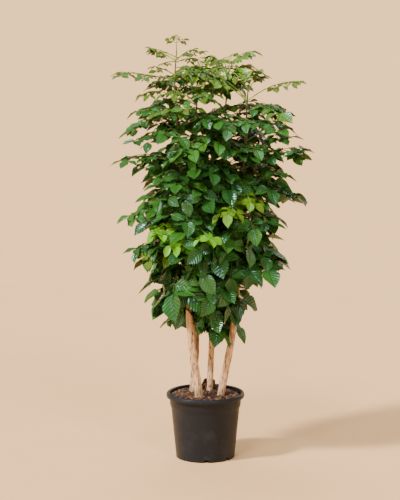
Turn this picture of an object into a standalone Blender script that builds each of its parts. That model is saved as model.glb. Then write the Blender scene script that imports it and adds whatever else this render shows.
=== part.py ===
"""A china doll plant in a nursery pot: pot, soil, four woody stems and the compound leaves that they carry.

Metres, +Z up, the origin on the floor under the middle of the pot, -Y towards the viewer.
"""

import math
from collections import namedtuple

import bpy
import numpy as np
from mathutils import Vector
from mathutils.bvhtree import BVHTree

# Driving sizes of the pot: a rolled lip, a collar under it, a tapered body, a foot ring and a middle pad
LIP_RADIUS = 0.1342
LIP_UNDERSIDE = 0.2096
LIP_WIDEST = 0.2160
LIP_SHOULDER = 0.2232
LIP_ROUND = 0.0019
LIP_TOP_WIDTH = 0.0044
POT_HEIGHT = 0.226
WALL = 0.0022
COLLAR_RADIUS = 0.1230
COLLAR_FOOT = 0.1840
COLLAR_TAPER = 0.0018
BODY_TOP_RADIUS = 0.1166
BODY_TOP = 0.169
FOOT_RADIUS = 0.1005
FOOT_RING = 0.0024
FOOT_RECESS = 0.0105
PAD_RADIUS = 0.048
PAD_SLOPE = 0.0075
POT_SIDES = 32
NOTCHES = 8
NOTCH_WIDTH = 0.014
NOTCH_HEIGHT = 0.0095
NOTCH_DEPTH = 0.012
NOTCH_TURN = math.radians(2)

# Gap kept between pieces that touch
GAP = 0.0003

# Soil
SOIL_EDGE = 0.213
SOIL_DOME = 0.006
CHIP_HEIGHT = 0.0028
SOIL_RINGS = 6
HOLE_TOP = 0.262
HEAP_PLACE = (0.012, 0.068)
HEAP_RADIUS = 0.024
HEAP_HEIGHT = 0.036

# Stems: points on the axis from the foot in the soil to the tip, and the radius at both ends
Stem = namedtuple("Stem", "name axis foot_radius tip_radius")
STEMS = (
    Stem("front_left", (
        (-0.014, -0.046, 0.095), (-0.022, -0.051, 0.217), (-0.050, -0.064, 0.480), (-0.066, -0.080, 0.800),
        (-0.088, -0.094, 1.100), (-0.102, -0.098, 1.300), (-0.096, -0.090, 1.395),
    ), 0.0125, 0.0026),
    Stem("back_left", (
        (-0.046, 0.026, 0.095), (-0.042, 0.031, 0.217), (-0.036, 0.052, 0.480), (-0.050, 0.084, 0.800),
        (-0.038, 0.100, 1.080), (-0.026, 0.104, 1.250),
    ), 0.0110, 0.0026),
    Stem("back_right", (
        (0.012, 0.034, 0.095), (0.0155, 0.040, 0.217), (0.024, 0.058, 0.440), (0.044, 0.086, 0.780),
        (0.062, 0.104, 1.080), (0.076, 0.100, 1.310),
    ), 0.0098, 0.0026),
    Stem("front_right", (
        (0.030, -0.018, 0.095), (0.0515, -0.022, 0.217), (0.098, -0.036, 0.480), (0.112, -0.052, 0.720),
        (0.127, -0.068, 1.010), (0.141, -0.077, 1.285),
    ), 0.0120, 0.0026),
)
STEM_SIDES = 8
STEM_RINGS = 13
FOOT_RINGS = 5

# Reach of the crown from the pot's axis at these heights: to the left, to the right, and front and back
CROWN_HEIGHTS = (0.40, 0.50, 0.60, 0.75, 0.90, 1.05, 1.17, 1.30, 1.46)
CROWN_LEFT = (0.09, 0.150, 0.215, 0.262, 0.270, 0.285, 0.280, 0.240, 0.13)
CROWN_RIGHT = (0.10, 0.165, 0.235, 0.285, 0.320, 0.330, 0.300, 0.240, 0.13)
CROWN_DEPTH = (0.09, 0.155, 0.220, 0.265, 0.280, 0.280, 0.265, 0.225, 0.12)

# Length of a leaflet by the height of the leaf that bears it
LEAFLET_HEIGHTS = (0.45, 0.75, 1.00, 1.20, 1.40)
LEAFLET_LENGTHS = (0.088, 0.080, 0.068, 0.055, 0.040)

# How a leaf sets off from its stem and how far it bends down, by height, in degrees
ARCH_HEIGHTS = (0.50, 0.70, 0.95, 1.20, 1.40)
ARCH_RISE = (10, 22, 32, 38, 46)
ARCH_DROOP = (70, 88, 88, 66, 40)

# Leaves follow a spiral up the crown: how high their tips are at shares of the series, and how far out
CROWN_LEAVES = 42
SPIRAL_TURN = math.pi * (3 - math.sqrt(5))
SPIRAL_SHARES = (0.0, 0.30, 0.72, 1.0)
SPIRAL_HEIGHTS = (0.46, 0.69, 1.12, 1.37)
SPIRAL_REACH = (1.0, 0.92, 0.78)
SHORTEST, LONGEST = 0.125, 0.31
JITTER_DEGREES = 9
TRIES = 30
CLEARANCE = 0.0075
OWN_STEM_ZONE = 0.03
CROWN_SEED = 26

# Leaves that the rule doesn't give: stem, height, azimuth, rise, droop, length, leaflet, kind
ACCENTS = (
    ("front_left", 1.300, 172, 14, 16, 0.185, 0.044, "upper"),
    ("front_left", 1.365, 165, 30, 20, 0.085, 0.024, "upper"),
    ("front_left", 1.40, 100, 84, 20, 0.050, 0.024, "upper"),
    ("back_left", 1.26, 150, 82, 30, 0.060, 0.030, "upper"),
    ("back_right", 1.32, 60, 80, 36, 0.070, 0.032, "upper"),
    ("front_right", 1.26, -60, 80, 40, 0.075, 0.034, "upper"),
    ("back_left", 1.236, -25, 40, 24, 0.165, 0.038, "upper"),
    ("front_right", 1.262, -8, 14, 20, 0.165, 0.042, "upper"),
    ("front_right", 1.000, -14, 42, 50, 0.215, 0.056, "mature"),
    ("front_left", 0.700, -164, 30, 62, 0.165, 0.040, "new"),
    ("front_left", 0.765, -98, 38, 84, 0.140, 0.042, "new"),
)
UPPER_FROM = 1.18

# Compound leaf: angles of its side stalks and leaflets in degrees, and sizes as shares of a leaflet's length
SIDE_ANGLE = (62, 50)
SIDE_DROOP = 16
SIDE_SAG = 0.14
SIDE_TAPER = 0.30
LEAFLET_HANG = 18
LEAFLET_ROLL = 16
END_SIZE = 1.12
SIDE_SIZE = 0.90
FIRST_PINNA = 0.42
LAST_PINNA = 0.80
MIDRIB_END = 0.97
STALK_SHARE = 1.10
PAIR_PLACE = 0.86
PAIR_JOINT = 0.115
PAIR_SPREAD = math.radians(80)
MIDRIB_WIDTH = (0.0022, 0.0012)
MIDRIB_DEPTH = (0.0019, 0.0010)
STALK_HALF_WIDTH = 0.0011
STALK_HALF_DEPTH = 0.0009
JOINT_LENGTH = 0.0036
MOST_PAIRS = 3

# Leaflet: half width at shares of its length, where its blade is thickest, and its cup and droop
OUTLINE = ((0.40, 0.30), (0.73, 0.20))
THICKEST = 0.45
BLADE_HALF = 0.0009
CUP = 0.30
SAG = 0.13
PROBE_GROWTH = 0.0009
PROBE_DEPTH = 0.0006

# How much of their droop leaflets have, by the height of their leaf's root
EASE_HEIGHTS = (0.70, 1.20)
EASE_SHARES = (1.0, 0.65)

# How each leaflet is tried in turn until it is clear: degrees bent up, degrees rolled and scale
ATTEMPTS = (
    (0, 0, 1.0), (-14, 0, 1.0), (12, 0, 1.0), (0, 22, 1.0), (0, -22, 1.0), (-26, 12, 0.95), (20, -14, 0.95),
    (-14, 30, 0.85), (14, -30, 0.85), (-34, 0, 0.8), (0, 40, 0.75), (0, -40, 0.75),
)

# Shares along a midrib at which its curve is added up
FINE = np.linspace(0, 1, 41)

Leaf = namedtuple("Leaf", "name stem base azimuth rise droop bend roll length leaflet pairs kind seed")
Leaflet = namedtuple("Leaflet", "unit slot place heading normal length")

MATERIALS = {
    "pot": ((0.030, 0.026, 0.024), 0.45),
    "soil": ((0.100, 0.045, 0.022), 0.95),
    "bark": ((0.560, 0.380, 0.230), 0.80),
    "mature": ((0.020, 0.085, 0.012), 0.35),
    "upper": ((0.150, 0.300, 0.030), 0.38),
    "new": ((0.330, 0.480, 0.030), 0.40),
}


def clear_scene():
    for obj in list(bpy.data.objects):
        bpy.data.objects.remove(obj, do_unlink=True)


def material_for(name):
    found = bpy.data.materials.get(name)
    if found:
        return found
    colour, roughness = MATERIALS[name]
    made = bpy.data.materials.new(name)
    made.use_nodes = True
    shader = made.node_tree.nodes["Principled BSDF"]
    shader.inputs["Base Color"].default_value = (*colour, 1.0)
    shader.inputs["Roughness"].default_value = roughness
    shader.inputs["Metallic"].default_value = 0.0
    return made


def add_object(name, points, faces, material, smooth=False):
    mesh = bpy.data.meshes.new(name)
    mesh.from_pydata([tuple(map(float, p)) for p in points], [], faces)
    mesh.validate()
    if smooth:
        mesh.shade_smooth()
        mesh.set_sharp_from_angle(angle=math.radians(35))
    mesh.materials.append(material_for(material))
    obj = bpy.data.objects.new(name, mesh)
    bpy.context.scene.collection.objects.link(obj)
    return obj


def cut(obj, cutter):
    """Takes the cutter away from the object for good."""
    step = obj.modifiers.new("cut", "BOOLEAN")
    step.operation = "DIFFERENCE"
    step.solver = "EXACT"
    step.object = cutter
    with bpy.context.temp_override(object=obj, active_object=obj, selected_objects=[obj]):
        bpy.ops.object.modifier_apply(modifier=step.name)
    bpy.data.objects.remove(cutter, do_unlink=True)


def turned(profile, sides):
    """Points and faces of a profile of (radius, height) turned about Z, down the outside and up the inside.

    The first and last points lie on the axis.
    """
    turns = np.arange(sides) * 2 * math.pi / sides
    rings = [[(r * math.cos(a), r * math.sin(a), z) for a in turns] for r, z in profile[1:-1]]
    points = [p for ring in rings for p in ring]
    points += [(0, 0, profile[0][1]), (0, 0, profile[-1][1])]
    first, last = len(points) - 2, len(points) - 1
    top = (len(rings) - 1) * sides
    faces = []
    for k in range(sides):
        n = (k + 1) % sides
        faces.append((first, k, n))
        faces.append((last, top + n, top + k))
        for row in range(0, top, sides):
            faces.append((row + k, row + sides + k, row + sides + n, row + n))
    return points, faces


def inner_profile(gap):
    """The inside of the pot from the lip down to the middle of the base, drawn in by a gap."""
    across = WALL + gap
    floor = FOOT_RECESS + WALL + gap
    return [
        (COLLAR_RADIUS - across, LIP_UNDERSIDE - WALL),
        (COLLAR_RADIUS - across - COLLAR_TAPER, COLLAR_FOOT + GAP),
        (BODY_TOP_RADIUS - across, BODY_TOP),
        (FOOT_RADIUS - across, floor),
        (PAD_RADIUS + PAD_SLOPE - WALL - gap, floor),
        (PAD_RADIUS - WALL / 2 - gap, WALL + gap),
        (0, WALL + gap),
    ]


def build_pot():
    inner_edge = LIP_RADIUS - LIP_ROUND - LIP_TOP_WIDTH
    inside = [(inner_edge, POT_HEIGHT), (COLLAR_RADIUS - WALL / 2, POT_HEIGHT - LIP_ROUND * 1.5)]
    outside = [
        (0, 0),
        (PAD_RADIUS, 0),
        (PAD_RADIUS + PAD_SLOPE, FOOT_RECESS),
        (FOOT_RADIUS - FOOT_RING, FOOT_RECESS),
        (FOOT_RADIUS - FOOT_RING, 0),
        (FOOT_RADIUS, 0),
        (FOOT_RADIUS + WALL / 2, FOOT_RECESS + WALL),
        (BODY_TOP_RADIUS, BODY_TOP),
        (COLLAR_RADIUS - COLLAR_TAPER, COLLAR_FOOT),
        (COLLAR_RADIUS, LIP_UNDERSIDE - GAP),
        (LIP_RADIUS - LIP_ROUND, LIP_UNDERSIDE),
        (LIP_RADIUS, LIP_WIDEST),
        (LIP_RADIUS - LIP_ROUND, LIP_SHOULDER),
    ]
    profile = outside + inside + inner_profile(0)
    points, faces = turned(profile[::-1], POT_SIDES)
    pot = add_object("pot", points, faces, "pot", smooth=True)
    cut(pot, notch_cutter())


def notch_cutter():
    """Drain notches: pointed arches, open at the floor, through the foot ring."""
    half, below, spring = NOTCH_WIDTH / 2, -NOTCH_HEIGHT, NOTCH_HEIGHT * 0.7
    arch = ((-half, below), (half, below), (half, spring), (half * 0.6, NOTCH_HEIGHT),
            (-half * 0.6, NOTCH_HEIGHT), (-half, spring))
    points, faces = [], []
    for k in range(NOTCHES):
        turn = NOTCH_TURN + k * 2 * math.pi / NOTCHES - math.pi / 2
        out = Vector((math.cos(turn), math.sin(turn), 0))
        side = Vector((-math.sin(turn), math.cos(turn), 0))
        first = len(points)
        for reach in (FOOT_RADIUS - NOTCH_DEPTH, FOOT_RADIUS + NOTCH_DEPTH):
            points += [out * reach + side * s + Vector((0, 0, z)) for s, z in arch]
        count = len(arch)
        faces.append(tuple(first + k for k in reversed(range(count))))
        faces.append(tuple(first + count + k for k in range(count)))
        for k in range(count):
            n = (k + 1) % count
            faces.append((first + k, first + n, first + count + n, first + count + k))
    cutter = add_object("notches", points, faces, "pot")
    cutter.hide_render = True
    cutter.display_type = "WIRE"
    return cutter


def soil_surface(x, y, roughness):
    """Height of the soil: a low dome, a heap behind the stems, and bark chips as bumps."""
    share = (x * x + y * y) / COLLAR_RADIUS**2
    away = ((x - HEAP_PLACE[0]) ** 2 + (y - HEAP_PLACE[1]) ** 2) / HEAP_RADIUS**2
    return SOIL_EDGE + SOIL_DOME * (1 - share) + HEAP_HEIGHT * np.exp(-(away**2)) + roughness


def build_soil():
    rng = np.random.default_rng(7)
    wall = inner_profile(GAP)
    # The wall's top ring is raised to the soil's edge, on the line of the pot's inside
    edge_radius = COLLAR_RADIUS - WALL - 2 * GAP
    radii = np.linspace(0, edge_radius, SOIL_RINGS + 1)[1:]
    points, faces = [(0.0, 0.0, float(soil_surface(0, 0, 0)))], []
    for number, radius in enumerate(radii):
        rim = number == len(radii) - 1
        stagger = 0.5 * ((len(radii) - 1 - number) % 2)
        turns = (np.arange(POT_SIDES) + stagger) * 2 * math.pi / POT_SIDES
        x, y = radius * np.cos(turns), radius * np.sin(turns)
        bumps = 0 if rim else rng.uniform(-CHIP_HEIGHT, CHIP_HEIGHT, POT_SIDES)
        z = soil_surface(x, y, bumps)
        points += list(zip(x, y, z))
    for radius, height in wall[:-1]:
        turns = np.arange(POT_SIDES) * 2 * math.pi / POT_SIDES
        points += list(zip(radius * np.cos(turns), radius * np.sin(turns), [height] * POT_SIDES))
    points.append((0.0, 0.0, wall[-1][1]))
    for k in range(POT_SIDES):
        faces.append((0, 1 + k, 1 + (k + 1) % POT_SIDES))
    for ring in range(SOIL_RINGS + len(wall) - 2):
        upper, lower = 1 + ring * POT_SIDES, 1 + (ring + 1) * POT_SIDES
        # Rings on the top are staggered by half a side, and each pair of triangles leans the same way
        ahead = ring < SOIL_RINGS - 1 and (SOIL_RINGS - 1 - ring) % 2 == 1
        for k in range(POT_SIDES):
            n = (k + 1) % POT_SIDES
            if ahead:
                faces += [(upper + k, lower + k, lower + n), (upper + k, lower + n, upper + n)]
            else:
                faces += [(upper + k, lower + k, upper + n), (upper + n, lower + k, lower + n)]
    start = 1 + (SOIL_RINGS + len(wall) - 2) * POT_SIDES
    for k in range(POT_SIDES):
        faces.append((start + k, len(points) - 1, start + (k + 1) % POT_SIDES))
    soil = add_object("soil", points, faces, "soil")
    for stem in STEMS:
        hole = stem_tube(stem, "hole", GAP * 1.6, GAP * 1.6, HOLE_TOP)
        hole.hide_render = True
        hole.display_type = "WIRE"
        cut(soil, hole)


def smooth_at(knots, values, at):
    """Cubic through the values at the knots, its slope at a knot taken from the neighbours on both sides."""
    knots, values = np.asarray(knots, float), np.asarray(values, float)
    slopes = np.gradient(values, knots, axis=0)
    at = np.atleast_1d(np.clip(at, knots[0], knots[-1]))
    i = np.clip(np.searchsorted(knots, at) - 1, 0, len(knots) - 2)
    span = knots[i + 1] - knots[i]
    u = ((at - knots[i]) / span)[:, None]
    span = span[:, None]
    return (
        values[i] * (1 + 2 * u) * (1 - u) ** 2
        + slopes[i] * span * u * (1 - u) ** 2
        + values[i + 1] * (3 - 2 * u) * u**2
        + slopes[i + 1] * span * (u - 1) * u**2
    )


def stem_centre(stem, z):
    """(x, y) of the stem's axis at each height z."""
    axis = np.array(stem.axis)
    return smooth_at(axis[:, 2], axis[:, :2], z)


def ring_heights(stem):
    return np.linspace(HOLE_TOP, stem.axis[-1][2], STEM_RINGS)


def stem_line(stem, z):
    """(x, y) of the axis as it is built above the soil: straight from ring to ring."""
    heights = ring_heights(stem)
    centres = stem_centre(stem, heights)
    return np.stack([np.interp(z, heights, centres[:, k]) for k in range(2)], axis=-1)


def stem_radius(stem, z):
    low, high = stem.axis[1][2], stem.axis[-1][2]
    share = np.clip((np.asarray(z, float) - low) / (high - low), 0, 1)
    return stem.foot_radius + (stem.tip_radius - stem.foot_radius) * share**0.85


def stem_tube(stem, name, grow, below, top):
    """A tube of level rings on the stem's axis, wider than the stem by grow and deeper by below."""
    heights = np.linspace(stem.axis[0][2] - below, HOLE_TOP, FOOT_RINGS)
    if top > HOLE_TOP:
        heights = np.concatenate([heights, ring_heights(stem)[1:]])
    centres = stem_centre(stem, heights)
    radii = stem_radius(stem, heights) + grow
    turns = np.arange(STEM_SIDES) * 2 * math.pi / STEM_SIDES
    points = [
        (c[0] + r * math.cos(a), c[1] + r * math.sin(a), z)
        for c, r, z in zip(centres, radii, heights)
        for a in turns
    ]
    faces = [tuple(reversed(range(STEM_SIDES)))]
    for row in range(0, (len(heights) - 1) * STEM_SIDES, STEM_SIDES):
        for k in range(STEM_SIDES):
            n = (k + 1) % STEM_SIDES
            faces.append((row + k, row + n, row + STEM_SIDES + n, row + STEM_SIDES + k))
    last = (len(heights) - 1) * STEM_SIDES
    faces.append(tuple(last + k for k in range(STEM_SIDES)))
    return add_object(name, points, faces, "bark", smooth=True)


def build_stems():
    for stem in STEMS:
        stem_tube(stem, "stem_" + stem.name, 0, 0, stem.axis[-1][2])


def midrib_frame(leaf, t):
    """Place, heading, right-hand side and upper normal at shares t of the midrib.

    The heading's elevation falls from rise by droop * t**1.3, its azimuth turns by bend * t, and the place
    is the sum of the headings.
    """

    def heading(s):
        tilt = leaf.rise - leaf.droop * s**1.3
        turn = leaf.azimuth + leaf.bend * s
        return np.stack([np.cos(tilt) * np.cos(turn), np.cos(tilt) * np.sin(turn), np.sin(tilt)], axis=-1)

    t = np.atleast_1d(np.asarray(t, float))
    steps = (heading(FINE[1:]) + heading(FINE[:-1])) / 2 * (leaf.length / (len(FINE) - 1))
    track = leaf.base + np.concatenate([np.zeros((1, 3)), np.cumsum(steps, axis=0)])
    place = np.stack([np.interp(t, FINE, track[:, k]) for k in range(3)], axis=-1)
    ahead = heading(t)
    turn = leaf.azimuth + leaf.bend * t
    level = np.stack([np.sin(turn), -np.cos(turn), np.zeros_like(turn)], axis=-1)
    upright = np.cross(level, ahead)
    roll = leaf.roll * t
    side = level * np.cos(roll)[:, None] - upright * np.sin(roll)[:, None]
    return place, ahead, side, np.cross(side, ahead)


def eased(leaf):
    return float(np.interp(leaf.base[2], EASE_HEIGHTS, EASE_SHARES))


def pinna_places(leaf):
    return np.linspace(FIRST_PINNA, LAST_PINNA, leaf.pairs) if leaf.pairs > 1 else np.array([0.55])


def pinna_frame(leaf, number, hand, s):
    """The same four, and the length, of a side stalk: hand is 1 on the right and -1 on the left.

    s holds the shares of its length, along which it leaves the midrib sideways and sags by their square.
    """
    draws = np.random.default_rng([leaf.seed, number, hand + 1]).uniform(-1, 1, 4)
    share = number / max(leaf.pairs - 1, 1)
    place, ahead, side, normal = (v[0] for v in midrib_frame(leaf, pinna_places(leaf)[number]))
    spread = math.radians(SIDE_ANGLE[0] + (SIDE_ANGLE[1] - SIDE_ANGLE[0]) * share + 5 * draws[0])
    droop = math.radians(SIDE_DROOP + 8 * draws[1]) * eased(leaf)
    length = leaf.leaflet * (STALK_SHARE - SIDE_TAPER * share) * (1 + 0.10 * draws[2])
    out = ahead * math.cos(spread) + side * (hand * math.sin(spread))
    heading = out * math.cos(droop) - normal * math.sin(droop)
    s = np.atleast_1d(np.asarray(s, float))[:, None]
    down = np.array([0, 0, -SIDE_SAG * eased(leaf)])
    places = place + length * (s * heading + s**2 * down)
    aheads = heading + 2 * s * down
    aheads /= np.linalg.norm(aheads, axis=1, keepdims=True)
    up = normal * math.cos(droop) + out * math.sin(droop)
    sides = np.cross(aheads, up)
    sides /= np.linalg.norm(sides, axis=1, keepdims=True)
    return places, aheads, sides, np.cross(sides, aheads), length


def turned_about(axis, vector, angle):
    return (
        vector * math.cos(angle) + np.cross(axis, vector) * math.sin(angle)
        + axis * (axis @ vector) * (1 - math.cos(angle))
    )


def leaflet_at(unit, slot, frame, length, draws, ease):
    """A leaflet that leaves its stalk's frame ahead or to a side, hangs a little and is rolled a little."""
    place, ahead, side, normal = frame
    hand = {"left": -1, "end": 0, "right": 1}[slot]
    place = place + side * (hand * STALK_HALF_WIDTH) + ahead * (length * PAIR_JOINT / 2 * (hand == 0))
    heading = ahead * math.cos(PAIR_SPREAD * hand) + side * math.sin(PAIR_SPREAD * hand)
    across = np.cross(heading, normal)
    hang = math.radians(LEAFLET_HANG * ease + 12 * draws[0])
    heading = turned_about(across, heading, -hang)
    normal = turned_about(across, normal, -hang)
    normal = turned_about(heading, normal, math.radians(LEAFLET_ROLL) * draws[1])
    return Leaflet(unit, slot, place, heading, normal, length * (1 + 0.10 * draws[2]))


def leaflets_of(leaf):
    """The end leaflet and one pair of side leaflets of the midrib and of each side stalk."""
    made = []
    units = [(0, 0)] + [(number, hand) for number in range(leaf.pairs) for hand in (-1, 1)]
    for unit, (number, hand) in enumerate(units):
        draws = np.random.default_rng([leaf.seed, 50 + unit]).uniform(-1, 1, (3, 3))
        if hand:
            frame = [v[0] for v in pinna_frame(leaf, number, hand, PAIR_PLACE)[:4]]
        else:
            frame = [v[0] for v in midrib_frame(leaf, MIDRIB_END)]
        for slot, size, drawn in zip(("end", "left", "right"), (END_SIZE, SIDE_SIZE, SIDE_SIZE), draws):
            made.append(leaflet_at(unit, slot, frame, leaf.leaflet * size, drawn, eased(leaf)))
    return made


def skeleton_points(leaf):
    """Points every few millimetres along the midrib and the side stalks."""
    found = [midrib_frame(leaf, np.linspace(0, MIDRIB_END, max(8, int(leaf.length / 0.005))))[0]]
    for number in range(leaf.pairs):
        for hand in (-1, 1):
            found.append(pinna_frame(leaf, number, hand, np.linspace(0.05, 1, 14))[0])
    return np.concatenate(found)


def clear_of_stems(points, own):
    for stem in STEMS:
        inside = points[points[:, 2] < stem.axis[-1][2] + 0.01]
        if stem is own:
            away = np.linalg.norm(inside[:, :2] - stem_line(stem, inside[:, 2]), axis=1)
            inside = inside[away > OWN_STEM_ZONE]
        if not len(inside):
            continue
        away = np.linalg.norm(inside[:, :2] - stem_line(stem, inside[:, 2]), axis=1)
        if (away < stem_radius(stem, inside[:, 2]) + CLEARANCE).any():
            return False
    return True


def clear_of_leaves(points, others):
    for other in others:
        if (np.abs(points.mean(axis=0) - other.mean(axis=0)) > 0.5).any():
            continue
        gaps = np.linalg.norm(points[:, None] - other[None], axis=2)
        if gaps.min() < CLEARANCE:
            return False
    return True


def reach_at(height, azimuth):
    """How far the crown reaches from the pot's axis that way: an ellipse of its side and depth reach."""
    side = CROWN_RIGHT if math.cos(azimuth) > 0 else CROWN_LEFT
    wide = np.interp(height, CROWN_HEIGHTS, side)
    deep = np.interp(height, CROWN_HEIGHTS, CROWN_DEPTH)
    return 1 / math.hypot(math.cos(azimuth) / wide, math.sin(azimuth) / deep)


def root_of(stem, height, azimuth):
    """The point just off the stem's bark, or just above its tip, where a leaf's stalk starts."""
    top = stem.axis[-1][2]
    if height > top:
        place = stem_line(stem, top)
        return np.array([place[0], place[1], top + GAP])
    out = np.array([math.cos(azimuth), math.sin(azimuth)])
    place = stem_line(stem, height) + out * (float(stem_radius(stem, height)) + GAP * 1.5)
    return np.array([place[0], place[1], height])


def root_frame(leaf):
    """The first ring of a leaf's stalk: flat against the bark, or on the tip of its stem."""
    out = np.array([math.cos(leaf.azimuth), math.sin(leaf.azimuth), 0])
    level = np.array([out[1], -out[0], 0])
    if leaf.base[2] > leaf.stem.axis[-1][2]:
        return leaf.base, None, level, -out
    step = MIDRIB_WIDTH[0]
    low, high = stem_line(leaf.stem, leaf.base[2] + np.array([-step, step]))
    bark = np.array([*(high - low), 2 * step])
    bark -= level * (bark @ level)
    return leaf.base, None, level, bark / np.linalg.norm(bark)


def leaf_by_rule(number, draws):
    """A leaf of the spiral: from the nearest stem that leaves it long enough, out to the crown's reach."""
    share = (number + 0.5) / CROWN_LEAVES
    height = float(np.interp(share, SPIRAL_SHARES, SPIRAL_HEIGHTS)) + 0.015 * draws[7]
    towards = number * SPIRAL_TURN + math.radians(JITTER_DEGREES * draws[0])
    rise = math.radians(np.interp(height, ARCH_HEIGHTS, ARCH_RISE) + 7 * draws[1])
    droop = math.radians(np.interp(height, ARCH_HEIGHTS, ARCH_DROOP) + 9 * draws[2])
    leaflet = float(np.interp(height, LEAFLET_HEIGHTS, LEAFLET_LENGTHS)) * (1 + 0.08 * draws[3])
    tilt = rise - droop * FINE**1.3
    level, lift = float(np.cos(tilt).mean()), float(np.sin(tilt).mean())
    reach = reach_at(height, towards) * SPIRAL_REACH[number % len(SPIRAL_REACH)] * (1 + 0.04 * draws[4])
    end = reach - leaflet * 1.1 * max(math.cos(rise - droop), 0.3)
    end = end * np.array([math.cos(towards), math.sin(towards)])
    offers = []
    for stem in STEMS:
        top = stem.axis[-1][2] - 0.012
        length = float(np.linalg.norm(end - stem_line(stem, height))) / level
        root = min(height - lift * length, top)
        away = end - stem_line(stem, root)
        length = float(np.linalg.norm(away)) / level
        cost = max(SHORTEST - length, 0) * 10 + length
        offers.append((cost, length, root, math.atan2(away[1], away[0]), stem))
    _, length, root, azimuth, stem = min(offers, key=lambda offer: offer[0])
    length = float(np.clip(length, SHORTEST, LONGEST))
    leaflet = min(leaflet, length * 0.42)
    pairs = int(np.clip(round(0.62 * length / leaflet), 1, MOST_PAIRS))
    kind = "upper" if height > UPPER_FROM + 0.03 * draws[5] else "mature"
    return Leaf("", stem, root_of(stem, root, azimuth), azimuth, rise, droop, math.radians(16 * draws[6]),
                math.radians(26 * draws[3]), length, leaflet, pairs, kind, 100 + number)


def leaf_by_hand(accent, seed, draws):
    """A leaf with its own figures, turned a little where that clears its neighbours."""
    stem = next(s for s in STEMS if s.name == accent[0])
    height = accent[1] + (0.004 * draws[0] if accent[1] < stem.axis[-1][2] else 0)
    azimuth, rise, droop = (math.radians(v) for v in accent[2:5])
    azimuth += math.radians(6) * draws[1]
    length, leaflet = accent[5], accent[6]
    pairs = int(np.clip(round(0.55 * length / (1.15 * leaflet)), 1, MOST_PAIRS))
    return Leaf("", stem, root_of(stem, height, azimuth), azimuth, rise, droop, math.radians(8) * draws[2],
                math.radians(10) * draws[3], length, leaflet, pairs, accent[7], seed)


def plan_leaves():
    """Every leaf of the crown, each drawn again until its stalks clear the stems and earlier leaves."""
    planned, taken = [], []
    for number in range(len(ACCENTS) + CROWN_LEAVES):
        for attempt in range(TRIES):
            draws = np.random.default_rng([CROWN_SEED, number, attempt]).uniform(-1, 1, 8)
            if number < len(ACCENTS):
                leaf = leaf_by_hand(ACCENTS[number], number, draws)
            else:
                leaf = leaf_by_rule(number - len(ACCENTS), draws)
            points = skeleton_points(leaf)
            if clear_of_stems(points, leaf.stem) and clear_of_leaves(points, taken):
                planned.append(leaf)
                taken.append(points)
                break
    counts = {stem.name: 0 for stem in STEMS}
    named = []
    for leaf in planned:
        counts[leaf.stem.name] += 1
        named.append(leaf._replace(name=f"leaf_{leaf.stem.name}_{counts[leaf.stem.name]:02d}"))
    return named


class Skin:
    """A closed skin grown ring by ring. A ring is upper left, upper right, lower right and lower left."""

    def __init__(self):
        self.points = []
        self.faces = []
        self.blades = []

    def add(self, place):
        self.points.append(np.asarray(place, float))
        return len(self.points) - 1

    def ring(self, frame, half_width, half_depth):
        place, _, side, normal = frame
        corners = ((-1, 1), (1, 1), (1, -1), (-1, -1))
        return [self.add(place + side * (a * half_width) + normal * (b * half_depth)) for a, b in corners]

    def quad(self, a, b, c, d):
        self.faces += [(a, b, c), (a, c, d)]

    def start(self, ring):
        self.quad(ring[3], ring[2], ring[1], ring[0])

    def stretch(self, back, front, joint=False):
        """Sides from one ring to the next. A joint leaves both flanks open and returns them as rings."""
        self.quad(back[0], back[1], front[1], front[0])
        self.quad(back[3], front[3], front[2], back[2])
        if joint:
            left = [back[0], front[0], front[3], back[3]]
            right = [front[1], back[1], back[2], front[2]]
            return left, right
        self.quad(back[2], front[2], front[1], back[1])
        self.quad(front[3], back[3], back[0], front[0])
        return None

    def close(self, ring):
        self.quad(ring[2], ring[3], ring[0], ring[1])

    def blade(self, ring, leaflet):
        """A leaflet from an open ring: two fans over one outline, alike above and below."""
        outline, upper, lower = blade_points(leaflet, 0, 0)
        right = [self.add(p) for p in outline[0]]
        tip = self.add(outline[1])
        left = [self.add(p) for p in outline[2]]
        above, below = self.add(upper), self.add(lower)
        edge = [*right, tip, *left]
        first = len(self.faces)
        top = [ring[0], ring[1], *edge]
        bottom = [ring[3], ring[2], *edge]
        for k in range(len(top)):
            n = (k + 1) % len(top)
            self.faces.append((above, top[k], top[n]))
            self.faces.append((below, bottom[n], bottom[k]))
        self.faces.append((ring[2], right[0], ring[1]))
        self.faces.append((left[-1], ring[3], ring[0]))
        self.blades.append((first, len(self.faces), leaflet))

    def tree(self):
        return BVHTree.FromPolygons([Vector(p) for p in self.points], self.faces)

    def leaflet_of(self, face):
        """The leaflet that a face belongs to, or None on a stalk."""
        for first, end, item in self.blades:
            if first <= face < end:
                return item
        return None


def blade_points(leaflet, grow, deepen):
    """A leaflet's outline, right side out, the tip and left side back, and the middle of both faces.

    The blade is cupped by CUP * |across| and droops by SAG * along**2, both shares of its length.
    """
    side = np.cross(leaflet.heading, leaflet.normal)
    size = leaflet.length

    def at(along, across):
        bend = CUP * abs(across) - SAG * along**2
        reach = size * along + grow * (along - THICKEST)
        width = size * across + grow * np.sign(across)
        return leaflet.place + leaflet.heading * reach + side * width + leaflet.normal * (size * bend)

    right = [at(along, across) for along, across in OUTLINE]
    left = [at(along, -across) for along, across in reversed(OUTLINE)]
    half = min(BLADE_HALF, size * 0.022) + deepen
    middle = at(THICKEST, 0)
    return (right, at(1, 0), left), middle + leaflet.normal * half, middle - leaflet.normal * half


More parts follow.
